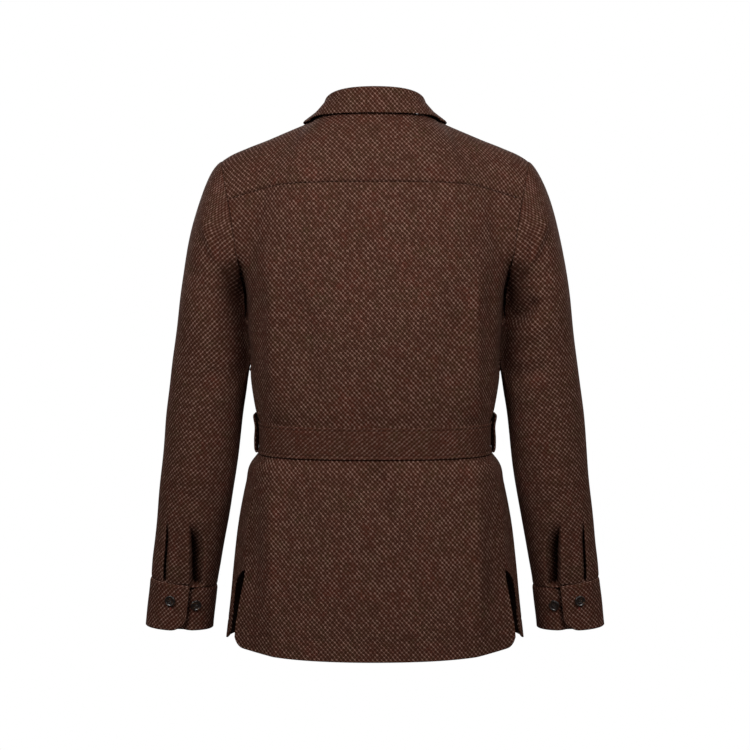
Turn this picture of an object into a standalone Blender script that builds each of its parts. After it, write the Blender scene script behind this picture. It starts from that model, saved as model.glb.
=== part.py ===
"""Safari jacket of brown tweed, hollow and filled out as when it is worn, in metres.

+Z is up, the back faces +Y and the wearer's left is +X. The origin is the middle of the neck opening at
the height of the neck ends of the shoulder seams, where the jacket is held. Every cloth piece is a grid
carried onto the form of the jacket and given a wall on its inner side.
"""
import math

import bmesh
import bpy
import numpy as np
from mathutils import Vector
from mathutils.bvhtree import BVHTree

# Walls, and the way between pieces that meet or lie on each other.
CLOTH = 0.002
COLLAR_WALL = 0.002
CUFF_WALL = 0.0025
BELT_WALL = 0.0025
SEAM = 0.0003
LAP_GAP = 0.0006

# Heights of the body.
HEM = -0.7130
HEM_RISE_AT_SIDE = 0.006
ARMPIT = -0.268
CHEST = -0.312
VENT_TOP = -0.620
VENT_OPENING = 0.085
HEM_CORNER = 0.012

# Neck and shoulders.
NECK_HALF_WIDTH = 0.078
NAPE_Y, NAPE_Z = 0.058, 0.010
PIT_Y, PIT_Z = -0.076, -0.072
RIDGE_Y = -0.004
NECK_SHARE = 0.4
NECK_ASIDE, NECK_CLIMB, NECK_SPREAD = 0.14, 0.42, 0.5
YOKE_MID, YOKE_EDGE = -0.085, -0.1085

# Armhole, an oval from the shoulder point round by the back to the armpit.
ARMHOLE_MID = -0.16225
ARMHOLE_HALF_HEIGHT = 0.10575
ARMHOLE_BACK, ARMHOLE_FRONT = 0.064, 0.062
ARMHOLE_X, ARMHOLE_X_SWING = 0.192, 0.015
ARMHOLE_BACK_HOLLOW, ARMHOLE_FRONT_HOLLOW = 0.006, 0.012

# Fronts, left over right.
FRONT_LAP_LOW, FRONT_LAP_HIGH = 0.090, 0.060
LAP_FADE_FROM, LAP_FADE_TO = 0.10, 0.26

# Sleeves and cuffs.
CUFF_TOP, CUFF_BOTTOM = -0.6335, -0.6965
CUFF_TILT, CUFF_BOTTOM_TILT = 0.006, 0.002
CUFF_STANDS_OUT = 0.0010
CUFF_CORNER = 0.019
SLEEVE_JOIN, SLEEVE_JOIN_TILT = -0.287, 0.032
SLIT_ANGLE = 98.0
SLIT_TOP = -0.520
SLIT_STEP_OUT, SLIT_STEP_IN = 0.0012, 0.0034
PLEAT_ANGLE, PLEAT_TOP, PLEAT_DEPTH, PLEAT_WIDTH = 53.0, -0.548, 0.0042, 5.0
CUFF_END_ANGLE, CUFF_UNDERLAP = 101.0, 42.0

# Collar.
FOLD_RADIUS = 0.005
COLLAR_END_X = 0.004
COLLAR_BACK_SHARE = 0.45
COLLAR_END = math.degrees(math.asin(COLLAR_END_X / NECK_HALF_WIDTH))

# Belt and its loops.
BELT_MID, BELT_WIDTH = -0.4275, 0.040
BELT_LIES_OFF = 0.0008
BELT_END_ANGLE, BELT_UNDER_ANGLE = 205.0, 165.0
LOOP_WIDTH, LOOP_HEIGHT, LOOP_ANGLE = 0.012, 0.054, 84.0
LOOP_STANDS_OUT = 0.0112

# Buttons.
BUTTON_RADIUS, BUTTON_HEIGHT = 0.0075, 0.0032
BUTTON_SIDES = 14
FRONT_BUTTON_HEIGHTS = (-0.112, -0.205, -0.298, -0.378, -0.500, -0.595)
CUFF_BUTTONS = ((74.0, -0.6560), (119.0, -0.6600))
BELT_BUTTON_ANGLE = 193.0

# Where neighbouring pieces both have points: across from the neck to the sleeve, and round the armhole.
OUTER_STATIONS = [0.45, 0.52, 0.64, 0.76, 0.87, 0.945, 1.0]
BACK_STATIONS = [180, 158, 135, 112, 90, 75]
YOKE_STATIONS = [45, 30, 15, 0]
FRONT_STATIONS = [180, 202.5, 225, 247.5, 270, 292.5, 310, 325, 337.5, 349, 360]
SLEEVE_STATIONS = [0, 4, 16, 20.5, 25, 29.5, 36, 48, 62, 80, 98, 120.5, 143, 165.5, 188, 210.5, 233, 255.5, 278]
SLEEVE_STATIONS += [300, 323, 340, 351, 357, 360]


def hermite(start, end, leave, arrive, f):
    """The smooth way from start to end, with the given directions at its ends."""
    g = f * f
    h = g * f
    return (2 * h - 3 * g + 1) * start + (h - 2 * g + f) * leave + (3 * g - 2 * h) * end + (h - g) * arrive


def ease(low, high, at):
    """Goes smoothly from 0 at low to 1 at high."""
    f = np.clip((at - low) / (high - low), 0.0, 1.0)
    return f * f * (3 - 2 * f)


class Table:
    """Named columns over the first one, with a smooth curve through each."""

    def __init__(self, columns, rows):
        self.names = columns.split()
        self.rows = np.array(sorted(rows), float)

    def at(self, name, key):
        keys = self.rows[:, 0]
        values = self.rows[:, self.names.index(name)]
        step = np.diff(keys)
        rise = np.diff(values) / step
        slope = np.concatenate(([rise[0]], (rise[:-1] * step[1:] + rise[1:] * step[:-1]) / (step[:-1] + step[1:]), [rise[-1]]))
        key = np.clip(np.asarray(key, float), keys[0], keys[-1])
        i = np.clip(np.searchsorted(keys, key, side="right") - 1, 0, len(step) - 1)
        f = (key - keys[i]) / step[i]
        return hermite(values[i], values[i + 1], slope[i] * step[i], slope[i + 1] * step[i], f)


# Level sections of the body: its half width, where its back and front lie, and how square it is.
TORSO = Table("height half_width back front square", [
    (-0.7130, 0.2048, 0.1270, -0.1360, 2.45),
    (-0.6600, 0.1990, 0.1255, -0.1340, 2.50),
    (-0.6000, 0.1928, 0.1230, -0.1310, 2.55),
    (-0.5400, 0.1853, 0.1200, -0.1285, 2.65),
    (-0.4900, 0.1752, 0.1165, -0.1255, 2.75),
    (-0.4640, 0.1690, 0.1135, -0.1232, 2.75),
    (-0.4545, 0.1620, 0.1104, -0.1206, 2.72),
    (-0.4475, 0.1582, 0.1087, -0.1192, 2.70),
    (-0.4415, 0.1577, 0.1085, -0.1190, 2.70),
    (-0.4275, 0.1577, 0.1085, -0.1190, 2.70),
    (-0.4135, 0.1577, 0.1085, -0.1190, 2.70),
    (-0.4075, 0.1581, 0.1087, -0.1192, 2.70),
    (-0.3900, 0.1620, 0.1118, -0.1220, 2.75),
    (-0.3520, 0.1680, 0.1155, -0.1260, 2.80),
    (-0.2980, 0.1728, 0.1180, -0.1310, 2.70),
    (-0.2680, 0.1762, 0.1190, -0.1330, 2.60),
])

# Where the side seam runs, as the angle from the middle of the back.
SIDE_SEAM = Table("height angle", [
    (-0.7130, 58.0), (-0.5500, 58.0), (-0.4500, 58.0), (-0.3900, 68.0), (-0.3300, 84.0), (-0.3000, 89.0),
    (-0.2680, 90.0),
])

# The line of the shoulder from the neck to the sleeve.
SHOULDER = Table("x height", [
    (0.078, 0.0000), (0.117, -0.0165), (0.143, -0.0275), (0.172, -0.0385), (0.196, -0.0493), (0.207, -0.0565),
])

# Level sections of the left sleeve.
SLEEVE = Table("height mid_x mid_y half_width half_depth", [
    (-0.7100, 0.2735, -0.0350, 0.0464, 0.0375),
    (-0.6650, 0.2682, -0.0320, 0.0463, 0.0380),
    (-0.6310, 0.2640, -0.0295, 0.0462, 0.0395),
    (-0.6080, 0.2609, -0.0275, 0.0474, 0.0430),
    (-0.5750, 0.2558, -0.0250, 0.0482, 0.0465),
    (-0.5190, 0.2473, -0.0200, 0.0504, 0.0510),
    (-0.4400, 0.2370, -0.0120, 0.0518, 0.0560),
    (-0.3970, 0.2324, -0.0090, 0.0525, 0.0585),
    (-0.3450, 0.2249, -0.0050, 0.0523, 0.0615),
    (-0.2980, 0.2225, -0.0030, 0.0484, 0.0655),
    (-0.2434, 0.2245, -0.0020, 0.0400, 0.0700),
])

# How the sleeve leaves the armhole and comes to its first level section, by the angle round it.
SLEEVE_HEAD = Table("angle leave_x leave_y leave_z arrive", [
    (0.0, 0.086, 0.000, -0.060, 0.235),
    (45.0, 0.082, 0.010, -0.046, 0.200),
    (90.0, 0.082, 0.019, -0.022, 0.140),
    (135.0, 0.048, 0.024, -0.010, 0.085),
    (180.0, 0.014, 0.000, -0.010, 0.055),
    (225.0, 0.048, -0.010, -0.010, 0.085),
    (270.0, 0.082, -0.012, -0.022, 0.140),
    (315.0, 0.082, -0.010, -0.046, 0.200),
    (360.0, 0.086, 0.000, -0.060, 0.235),
])

# The collar from the middle of the back (0) to its front end (1): the height and lean of its stand, and
# the place of its edge on the body (share across, share up the back and over to the front) and off it.
COLLAR = Table("share stand lean edge_t edge_q edge_off", [
    (0.00, 0.0295, -0.001, 0.000, 0.925, 0.0105),
    (0.15, 0.0295, -0.003, 0.184, 0.930, 0.0100),
    (0.30, 0.0290, -0.011, 0.356, 0.956, 0.0070),
    (0.375, 0.0285, -0.015, 0.418, 0.952, 0.0060),
    (0.41, 0.0283, -0.016, 0.462, 0.985, 0.0055),
    (0.45, 0.0280, -0.017, 0.468, 1.019, 0.0052),
    (0.49, 0.0278, -0.0165, 0.442, 1.054, 0.0050),
    (0.525, 0.0275, -0.016, 0.414, 1.091, 0.0050),
    (0.60, 0.0270, -0.014, 0.374, 1.127, 0.0050),
    (0.75, 0.0260, -0.009, 0.312, 1.185, 0.0050),
    (0.90, 0.0240, -0.004, 0.258, 1.280, 0.0050),
    (1.00, 0.0220, -0.002, 0.222, 1.389, 0.0060),
])

# Main folds of the sleeve: middle in angle and height, lean in degrees for a metre down, reach and rise.
SLEEVE_FOLDS = (
    # angle height lean half_angle half_height rise
    (112.0, -0.198, 850.0, 15.0, 0.045, 0.0050),
    (146.0, -0.205, 850.0, 15.0, 0.040, -0.0040),
    (84.0, -0.235, 700.0, 16.0, 0.045, -0.0030),
    (150.0, -0.385, 260.0, 16.0, 0.045, -0.0035),
    (250.0, -0.395, -240.0, 22.0, 0.040, -0.0040),
    (290.0, -0.200, 300.0, 14.0, 0.055, -0.0035),
    (108.0, -0.575, 0.0, 9.0, 0.045, -0.0030),
)

# Main folds of the body: middle in angle and height, reach and rise.
BODY_FOLDS = (
    # angle height half_angle half_height rise
    (48.0, -0.330, 7.0, 0.080, 0.0030),
    (33.0, -0.320, 9.0, 0.080, -0.0022),
    (50.0, -0.505, 7.0, 0.050, 0.0035),
    (36.0, -0.500, 8.0, 0.050, -0.0030),
    (0.0, -0.468, 6.0, 0.022, -0.0028),
    (118.0, -0.480, 9.0, 0.040, -0.0030),
    (132.0, -0.500, 8.0, 0.055, 0.0030),
    (120.0, -0.365, 9.0, 0.045, -0.0030),
)


def torso(angle, height):
    """The body's level section: angle is from the middle of the back, in degrees, positive to the left."""
    a = np.radians(angle)
    s, c = np.sin(a), np.cos(a)
    n = TORSO.at("square", height)
    k = (np.abs(s) ** n + np.abs(c) ** n) ** (1 / n)
    depth = np.where(c > 0, TORSO.at("back", height), -TORSO.at("front", height))
    rise = np.zeros(np.broadcast(angle, height).shape)
    for mid, level, half_angle, half_height, amount in BODY_FOLDS:
        rise = rise + amount * np.exp(-((np.abs(angle) - mid) / half_angle) ** 2 - ((height - level) / half_height) ** 2)
    rise = rise * ease(0.016, 0.040, np.abs(height - BELT_MID))
    x = TORSO.at("half_width", height) * s / k + rise * s
    y = depth * c / k + rise * c
    return np.stack(np.broadcast_arrays(x, y, height), axis=-1)


def armhole(turn):
    """The seam of the left sleeve: 0 at the shoulder point, 90 at the back, 180 at the armpit."""
    a = np.radians(turn)
    s, c = np.sin(a), np.cos(a)
    hollow = np.where(s > 0, ARMHOLE_BACK_HOLLOW, ARMHOLE_FRONT_HOLLOW)
    x = ARMHOLE_X + ARMHOLE_X_SWING * c - hollow * s * s
    y = np.where(s > 0, ARMHOLE_BACK, ARMHOLE_FRONT) * s + RIDGE_Y * (1 + c) / 2
    return np.stack([x, y, ARMHOLE_MID + ARMHOLE_HALF_HEIGHT * c], axis=-1)


def armhole_sides(turn):
    """The same seam as straight sides between the points that the body's pieces have on it."""
    seam = math.degrees(math.acos((YOKE_EDGE - ARMHOLE_MID) / ARMHOLE_HALF_HEIGHT))
    stations = sorted(set(BACK_STATIONS + YOKE_STATIONS + FRONT_STATIONS + [seam]))
    corners = armhole(np.array(stations, float))
    return np.stack([np.interp(turn, stations, corners[:, k]) for k in range(3)], axis=-1)


def top_edge(t, front):
    """The neck seam and then the shoulder seam, from the middle (0) to the shoulder point (1)."""
    a = np.clip(t / NECK_SHARE, -1, 1) * math.pi / 2
    out = np.clip((t - NECK_SHARE) / (1 - NECK_SHARE), 0, None)
    ridge_x = NECK_HALF_WIDTH + (ARMHOLE_X + ARMHOLE_X_SWING - NECK_HALF_WIDTH) * out
    on_neck = t < NECK_SHARE
    reach_y, reach_z = (PIT_Y, PIT_Z) if front else (NAPE_Y, NAPE_Z)
    x = np.where(on_neck, NECK_HALF_WIDTH * np.sin(a), ridge_x)
    y = np.where(on_neck, RIDGE_Y + (reach_y - RIDGE_Y) * np.cos(a), RIDGE_Y)
    z = np.where(on_neck, reach_z * np.cos(a) ** 1.5, SHOULDER.at("height", ridge_x))
    return np.stack([x, y, z], axis=-1)


def chest(t):
    """The height where the upper body starts, which rises to the armpit at the side."""
    return CHEST + (ARMPIT - CHEST) * np.clip(t, 0, 1) ** 6


def upper(t, q, front):
    """The body above the chest, on the left: t from the middle to the side, q from the chest to the top."""
    t, q = np.broadcast_arrays(np.asarray(t, float), np.asarray(q, float))
    way = 1.0 if front else -1.0
    chest_angle = 180 - 90 * t if front else 90 * t
    start = torso(chest_angle, chest(t))
    lean = (start - torso(chest_angle, chest(t) - 0.004)) / 0.004
    leave = lean * (0.33 if front else 0.38)
    wide = NECK_SPREAD * (1 - q) * (1 - ease(0.55, 1.0, np.abs(t)))
    end = sum(share * top_edge(t + k * wide, front) for k, share in ((-1, 0.15), (-0.5, 0.2), (0, 0.3), (0.5, 0.2), (1, 0.15)))
    at_neck = 1 - ease(0.0, NECK_SHARE, np.abs(t))
    over_y = 0.30 * (1 - at_neck) + (0.10 if front else 0.16) * at_neck
    over_z = 0.02 * (1 - at_neck) + (0.16 if front else 0.24) * at_neck
    aside = NECK_ASIDE * ease(0.0, NECK_SHARE, t) * (1 - ease(NECK_SHARE, 0.80, t))
    arrive = np.stack([-aside, way * over_y, over_z + NECK_CLIMB * aside], axis=-1)
    f = q[..., None]
    inner = hermite(start, end, leave, arrive, f)
    turn = 180 * (1 - q)
    side = armhole(360 - turn if front else turn)
    side_start = torso(np.full(t.shape, 90.0), np.full(t.shape, ARMPIT))
    side_lean = (side_start - torso(np.full(t.shape, 90.0), np.full(t.shape, ARMPIT - 0.004))) / 0.004
    side_arrive = np.stack([np.zeros(t.shape), np.full(t.shape, way * 0.30), np.full(t.shape, 0.02)], axis=-1)
    shoulder_point = top_edge(np.ones(t.shape), front)
    side_inner = hermite(side_start, shoulder_point, side_lean * (0.33 if front else 0.38), side_arrive, f)
    return inner + (np.clip(t, 0, None) ** 4)[..., None] * (side - side_inner)


def mirrored(points, side):
    return points * np.array([1.0, 1.0, 1.0]) * np.stack([side, np.ones_like(side), np.ones_like(side)], axis=-1)


def hem_height(share):
    """The hem rises a little to the side and has a round corner at the vent."""
    near = np.clip((np.abs(share) - 0.93) / 0.07, 0, 1)
    return HEM + HEM_RISE_AT_SIDE * share * share + HEM_CORNER * (1 - np.sqrt(1 - 0.999 * near * near))


def vent(height):
    """Half the angle by which a vent stands open."""
    return 57.3 * VENT_OPENING / 2 * np.clip((VENT_TOP - height) / (VENT_TOP - HEM), 0, None) ** 0.8


def yoke_seam(t):
    """How far up the upper body the yoke seam lies, found from its height."""
    height = YOKE_MID + (YOKE_EDGE - YOKE_MID) * t ** 2.5
    low, high = np.zeros(np.shape(t)), np.ones(np.shape(t))
    for _ in range(24):
        middle = (low + high) / 2
        under = upper(t, middle, False)[..., 2] < height
        low, high = np.where(under, middle, low), np.where(under, high, middle)
    return (low + high) / 2


def body_height(share, v):
    """The height of a row below the chest: level at the belt, with the hem's line below and the chest's above."""
    level = HEM + (CHEST - HEM) * np.minimum(v, 1)
    return level + (hem_height(share) - HEM) * (1 - ease(0.0, 0.35, v)) + (chest(share) - CHEST) * ease(0.80, 1.0, v)


SEAM_ANGLE = 0.6 * math.degrees(SEAM / 0.15)


def back_place(u, v):
    """The back: u across from -1 to 1, v from the hem (0) to the chest (1) to the yoke seam (2)."""
    share = np.abs(u)
    height = body_height(share, v)
    at_side = body_height(np.ones(np.shape(u)), v)
    edge = SIDE_SEAM.at("angle", at_side) - SEAM_ANGLE - vent(at_side)
    low = torso(share * edge, height)
    q = np.clip(v - 1, 0, None) * (yoke_seam(share) - 0.0006)
    high = upper(share * (1 - 0.0008), q, False)
    return mirrored(np.where((v <= 1)[..., None], low, high), np.where(u < 0, -1.0, 1.0))


def yoke_place(u, v):
    """The yoke: u across from -1 to 1, v from its seam on the back (0) to the neck and shoulders (1)."""
    share = np.abs(u)
    low = yoke_seam(share) + 0.0006
    points = upper(share * (1 - 0.0008), low + (1 - 0.0006 - low) * v, False)
    return mirrored(points, np.where(u < 0, -1.0, 1.0))


def front_place(u, v, lapped):
    """The left front: u from its lap (0) to the side (1), v from the hem (0) to the chest (1) to the top (2)."""
    lap = FRONT_LAP_LOW + (FRONT_LAP_HIGH - FRONT_LAP_LOW) * np.clip(v - 1, 0, 1)
    t = -lap + (1 + lap) * u
    height = body_height(np.clip(t, 0, 1), v)
    at_side = body_height(np.ones(np.shape(u)), v)
    edge = 180 - SIDE_SEAM.at("angle", at_side) - SEAM_ANGLE - vent(at_side)
    low = torso(180 - t * np.where(t > 0, edge, 90.0), height)
    high = upper(t * (1 - 0.0008), np.clip(v - 1, 0, None) * (1 - 0.0006), True)
    points = np.where((v <= 1)[..., None], low, high)
    if lapped:
        points = points + normals(lambda a, b: front_place(a, b, False), u, v, 1.0) * lap_rise(t)[..., None]
    return points


def lap_rise(t):
    """How far the upper front stands out to lie on the under one."""
    return (CLOTH + LAP_GAP) * (1 - ease(LAP_FADE_FROM, LAP_FADE_TO, t))


def tube(angle, height):
    """The left sleeve's level section: 0 is outward, 90 to the back, 180 to the body."""
    a = np.radians(angle)
    x = SLEEVE.at("mid_x", height) + SLEEVE.at("half_width", height) * np.cos(a)
    y = SLEEVE.at("mid_y", height) + SLEEVE.at("half_depth", height) * np.sin(a)
    return np.stack(np.broadcast_arrays(x, y, height), axis=-1)


def round_by(angle, mid):
    """The angle from mid, from -180 to 180."""
    return (angle - mid + 180) % 360 - 180


def sleeve_smooth(angle, v):
    """The left sleeve without its folds: v from the armhole (0) to the first level section (1) to the cuff (2)."""
    turn = angle % 360
    a = np.radians(angle)
    join = SLEEVE_JOIN + SLEEVE_JOIN_TILT * np.cos(a)
    f = np.minimum(v, 1)[..., None]
    leave = np.stack([SLEEVE_HEAD.at("leave_" + k, turn) for k in "xyz"], axis=-1)
    down = (tube(angle, join - 0.002) - tube(angle, join)) / 0.002
    arrive = down * SLEEVE_HEAD.at("arrive", turn)[..., None]
    head = hermite(armhole_sides(turn), tube(angle, join), leave, arrive, f)
    g = np.clip(v - 1, 0, None)
    low = join + (CUFF_TOP + SEAM / 2 + CUFF_TILT * np.cos(a) - join) * g
    return np.where((v <= 1)[..., None], head, tube(angle, low))


def sleeve_rise(angle, points, v):
    """How far the folds, the step at the slit and the pleat stand out from the smooth sleeve."""
    height = points[..., 2]
    rise = np.zeros(height.shape)
    for mid, level, lean, half_angle, half_height, amount in SLEEVE_FOLDS:
        across = round_by(angle, mid + lean * (level - height))
        rise = rise + amount * np.exp(-(across / half_angle) ** 2 - ((height - level) / half_height) ** 2)
    rise = rise * ease(0.03, 0.35, v)
    from_slit = round_by(angle, SLIT_ANGLE)
    below = ease(SLIT_TOP, SLIT_TOP - 0.035, height)
    step = np.where(from_slit <= 0, SLIT_STEP_OUT * ease(-28, -2, from_slit), -SLIT_STEP_IN * (1 - ease(3, 30, from_slit)))
    step = np.where((from_slit > 0) & (from_slit < 3), SLIT_STEP_OUT - (SLIT_STEP_OUT + SLIT_STEP_IN) * from_slit / 3, step)
    pleat = PLEAT_DEPTH * np.exp(-(round_by(angle, PLEAT_ANGLE) / PLEAT_WIDTH) ** 2)
    return rise + step * below - pleat * ease(PLEAT_TOP, PLEAT_TOP - 0.05, height)


def sleeve_place(u, v):
    angle = SLIT_ANGLE - 360 * u
    points = sleeve_smooth(angle, v)
    out = normals(lambda a, b: sleeve_smooth(SLIT_ANGLE - 360 * a, b), u, v, 1.0, 0.02)
    points = points + out * sleeve_rise(angle, points, v)[..., None]
    return points + np.array([1.5 * SEAM, 0.0, 0.0]) * (1 - ease(0.0, 0.3, v))[..., None]


def cuff_place(u, v):
    """The left cuff: u from its upper end round to its under end, v from the bottom (0) to its seam (1)."""
    turned = u * (360 + CUFF_UNDERLAP)
    angle = CUFF_END_ANGLE - turned
    a = np.radians(angle)
    arc = np.minimum(turned, 360 + CUFF_UNDERLAP - turned) * math.radians(1) * 0.042
    near = np.clip(1 - arc / CUFF_CORNER, 0, 1)
    bottom = CUFF_BOTTOM + CUFF_CORNER * (1 - np.sqrt(1 - 0.999 * near * near)) + CUFF_BOTTOM_TILT * np.cos(a)
    top = CUFF_TOP - SEAM / 2 + CUFF_TILT * np.cos(a)
    height = bottom + (top - bottom) * v
    sunk = (CUFF_WALL + LAP_GAP) * ease(285, 360, turned)
    out = np.stack([np.cos(a), np.sin(a), np.zeros(np.shape(a))], axis=-1)
    return tube(angle, height) + out * (CUFF_STANDS_OUT - sunk)[..., None]


def neck_seam(share):
    """The neck seam on the left from the middle of the back (0) to the front (1), and its outward way."""
    behind = 90 * share / COLLAR_BACK_SHARE
    before = 90 - (90 - COLLAR_END) * (share - COLLAR_BACK_SHARE) / (1 - COLLAR_BACK_SHARE)
    at_back = share < COLLAR_BACK_SHARE
    a = np.radians(np.where(at_back, behind, before))
    t = np.where(at_back, behind, before) / 90 * NECK_SHARE * (1 - 1e-9)
    seam = np.where(at_back[..., None], top_edge(t, False), top_edge(t, True))
    way = np.stack([np.sin(a), np.where(at_back, 1.0, -1.0) * np.cos(a), np.zeros(np.shape(a))], axis=-1)
    return seam, way, np.where(at_back, 1.0, t)


def over_body(t, q):
    """The body from the chest at the back (0) over the shoulder (1) to the chest at the front (2)."""
    return np.where((q <= 1)[..., None], upper(t, np.clip(q, 0, 1), False), upper(t, np.clip(2 - q, 0, 1), True))


def collar_place(u, v):
    """The collar: u from its right end (-1) to its left (1), v up the stand, over the fold and down the fall."""
    share = np.abs(u)
    seam, way, front_t = neck_seam(share)
    up = np.array([0.0, 0.0, 1.0])
    stand, lean = COLLAR.at("stand", share), COLLAR.at("lean", share)
    reach = stand - FOLD_RADIUS
    over_lap = np.where(u > 0, lap_rise(front_t), (CLOTH + LAP_GAP) * (1 - ease(0.06, 0.14, front_t)))
    base = seam + up * (SEAM + 0.65 * over_lap)[..., None] - way * (COLLAR_WALL + SEAM)
    climb = np.clip(v / 0.34, 0, 1)
    turn = np.clip((v - 0.34) / 0.22, 0, 1) * math.pi
    drop = np.clip((v - 0.56) / 0.44, 0, 1)[..., None]
    r = lean * climb + FOLD_RADIUS * (1 - np.cos(turn))
    h = reach * climb + FOLD_RADIUS * np.sin(turn)
    rolled = base + way * r[..., None] + up * h[..., None]
    t, q, off = COLLAR.at("edge_t", share), COLLAR.at("edge_q", share), COLLAR.at("edge_off", share)
    edge = over_body(t, q) + normals(lambda a, b: over_body(a, b), t, q, -1.0) * off[..., None]
    fold = base + way * (lean + 2 * FOLD_RADIUS)[..., None] + up * reach[..., None]
    fall = hermite(fold, edge, -up * 0.010 + way * 0.002, edge - fold, drop)
    return mirrored(np.where((v <= 0.56)[..., None], rolled, fall), np.where(u < 0, -1.0, 1.0))


def girth(angle, height, off):
    """The body's level section moved out, for what goes round the waist."""
    points = torso(angle, height)
    e = 0.5
    along = torso(angle + e, height) - torso(angle - e, height)
    way = np.stack([-along[..., 1], along[..., 0], np.zeros(np.shape(height))], axis=-1)
    way = way / np.linalg.norm(way, axis=-1, keepdims=True)
    return points + way * np.asarray(off)[..., None]


def over_fronts(angle):
    """How far the lapped fronts stand out under the belt."""
    from_middle = np.abs(round_by(angle, 180.0))
    return (CLOTH + LAP_GAP) * (1 - ease(13.0, 36.0, from_middle))


def belt_place(u, v):
    """The belt: u from its under end at the front round the back to its upper end, v up its width."""
    under = BELT_UNDER_ANGLE - 360.0
    angle = under + (BELT_END_ANGLE - under) * u
    height = BELT_MID + BELT_WIDTH * (v - 0.5) + 0 * u
    lapped = (BELT_WALL + LAP_GAP) * ease(115, 158, angle)
    return girth(angle, height, BELT_LIES_OFF + BELT_WALL + over_fronts(angle) + lapped)


def loop_place(u, v):
    """The left belt loop: u across it, v from its lower end (0) up over the belt to its upper end (1)."""
    height = BELT_MID + 0.0015 + LOOP_HEIGHT * (v - 0.5)
    half = math.degrees(LOOP_WIDTH / 2 / 0.11)
    angle = LOOP_ANGLE + half * (2 * u - 1)
    stand = ease(0.0, 0.16, v) * (1 - ease(0.86, 1.0, v))
    lying = CLOTH + SEAM * 4
    return girth(angle, height, lying + (LOOP_STANDS_OUT - 0.0012 * (v - 0.4) - lying) * stand)


def normals(place, u, v, sign, e=5e-4):
    """Unit normals of a surface, from near points on it."""
    n = np.cross(place(u + e, v) - place(u - e, v), place(u, v + e) - place(u, v - e))
    return sign * n / np.linalg.norm(n, axis=-1, keepdims=True)


def cloth(name, columns, rows, place, wall, out, side=1.0, closed=False):
    """A walled piece: a grid carried onto place, and its copy moved in by the wall and joined at the rim."""
    bm = bmesh.new()
    nu, nv = len(columns) - 1, len(rows) - 1
    bmesh.ops.create_grid(bm, x_segments=nu, y_segments=nv, size=0.5)
    if closed:
        first = {round((v.co.y + 0.5) * nv): v for v in bm.verts if v.co.x < -0.5 + 1e-6}
        last = {v: first[round((v.co.y + 0.5) * nv)] for v in bm.verts if v.co.x > 0.5 - 1e-6}
        bmesh.ops.weld_verts(bm, targetmap=last)
    flat = np.array([v.co for v in bm.verts])
    u = np.array(columns)[np.rint((flat[:, 0] + 0.5) * nu).astype(int)]
    v = np.array(rows)[np.rint((flat[:, 1] + 0.5) * nv).astype(int)]
    outer = place(u, v)
    inner = outer - normals(place, u, v, out) * wall
    number = bm.verts.layers.int.new("number")
    for k, vert in enumerate(bm.verts):
        vert[number] = k
        vert.co = outer[k]
    bmesh.ops.triangulate(bm, faces=bm.faces[:], quad_method="SHORT_EDGE")
    copied = bmesh.ops.extrude_face_region(bm, geom=bm.faces[:], use_keep_orig=True)["geom"]
    for vert in [g for g in copied if isinstance(g, bmesh.types.BMVert)]:
        vert.co = inner[vert[number]]
    for vert in bm.verts:
        vert.co.x *= side
    return solid(name, bm)


def solid(name, bm):
    """Makes the object of a closed mesh, with its own material."""
    bmesh.ops.recalc_face_normals(bm, faces=bm.faces[:])
    if bm.calc_volume(signed=True) < 0:
        bmesh.ops.reverse_faces(bm, faces=bm.faces[:])
    mesh = bpy.data.meshes.new(name)
    bm.to_mesh(mesh)
    bm.free()
    horn = "button" in name
    material = bpy.data.materials.new(name)
    material.use_nodes = True
    shader = material.node_tree.nodes["Principled BSDF"]
    shader.inputs["Base Color"].default_value = (0.018, 0.010, 0.007, 1) if horn else (0.075, 0.034, 0.024, 1)
    shader.inputs["Roughness"].default_value = 0.35 if horn else 0.9
    mesh.materials.append(material)
    made = bpy.data.objects.new(name, mesh)
    PARTS.objects.link(made)
    return made


# The turned form of a button: radius as a share of its own, and height as a share of its thickness.
BUTTON = (
    # radius height
    (0.00, 0.00), (0.78, 0.00), (1.00, 0.40), (0.97, 0.86), (0.84, 1.00), (0.66, 0.80), (0.00, 0.74),
)


def seat(carrier, middle, face, across, rise):
    """How far out along face a button's back clears the solid that carries it by the seam's gap."""
    mesh = PARTS.objects[carrier].data
    tree = BVHTree.FromPolygons([v.co for v in mesh.vertices], [tuple(f.vertices) for f in mesh.polygons])
    reach = [0.0]
    for k in range(2 * BUTTON_SIDES):
        a = math.pi * k / BUTTON_SIDES
        for radius in (0.5 * BUTTON_RADIUS, BUTTON[1][0] * BUTTON_RADIUS, BUTTON_RADIUS):
            start = middle + radius * (math.cos(a) * across + math.sin(a) * rise) + 0.01 * face
            hit = tree.ray_cast(Vector(start), Vector(-face), 0.02)[0]
            if hit is not None:
                sunk = BUTTON[2][1] * BUTTON_HEIGHT if radius == BUTTON_RADIUS else 0.0
                reach.append(float(np.dot(np.array(hit) - middle, face)) - sunk)
    return max(reach[1:]) + SEAM


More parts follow.
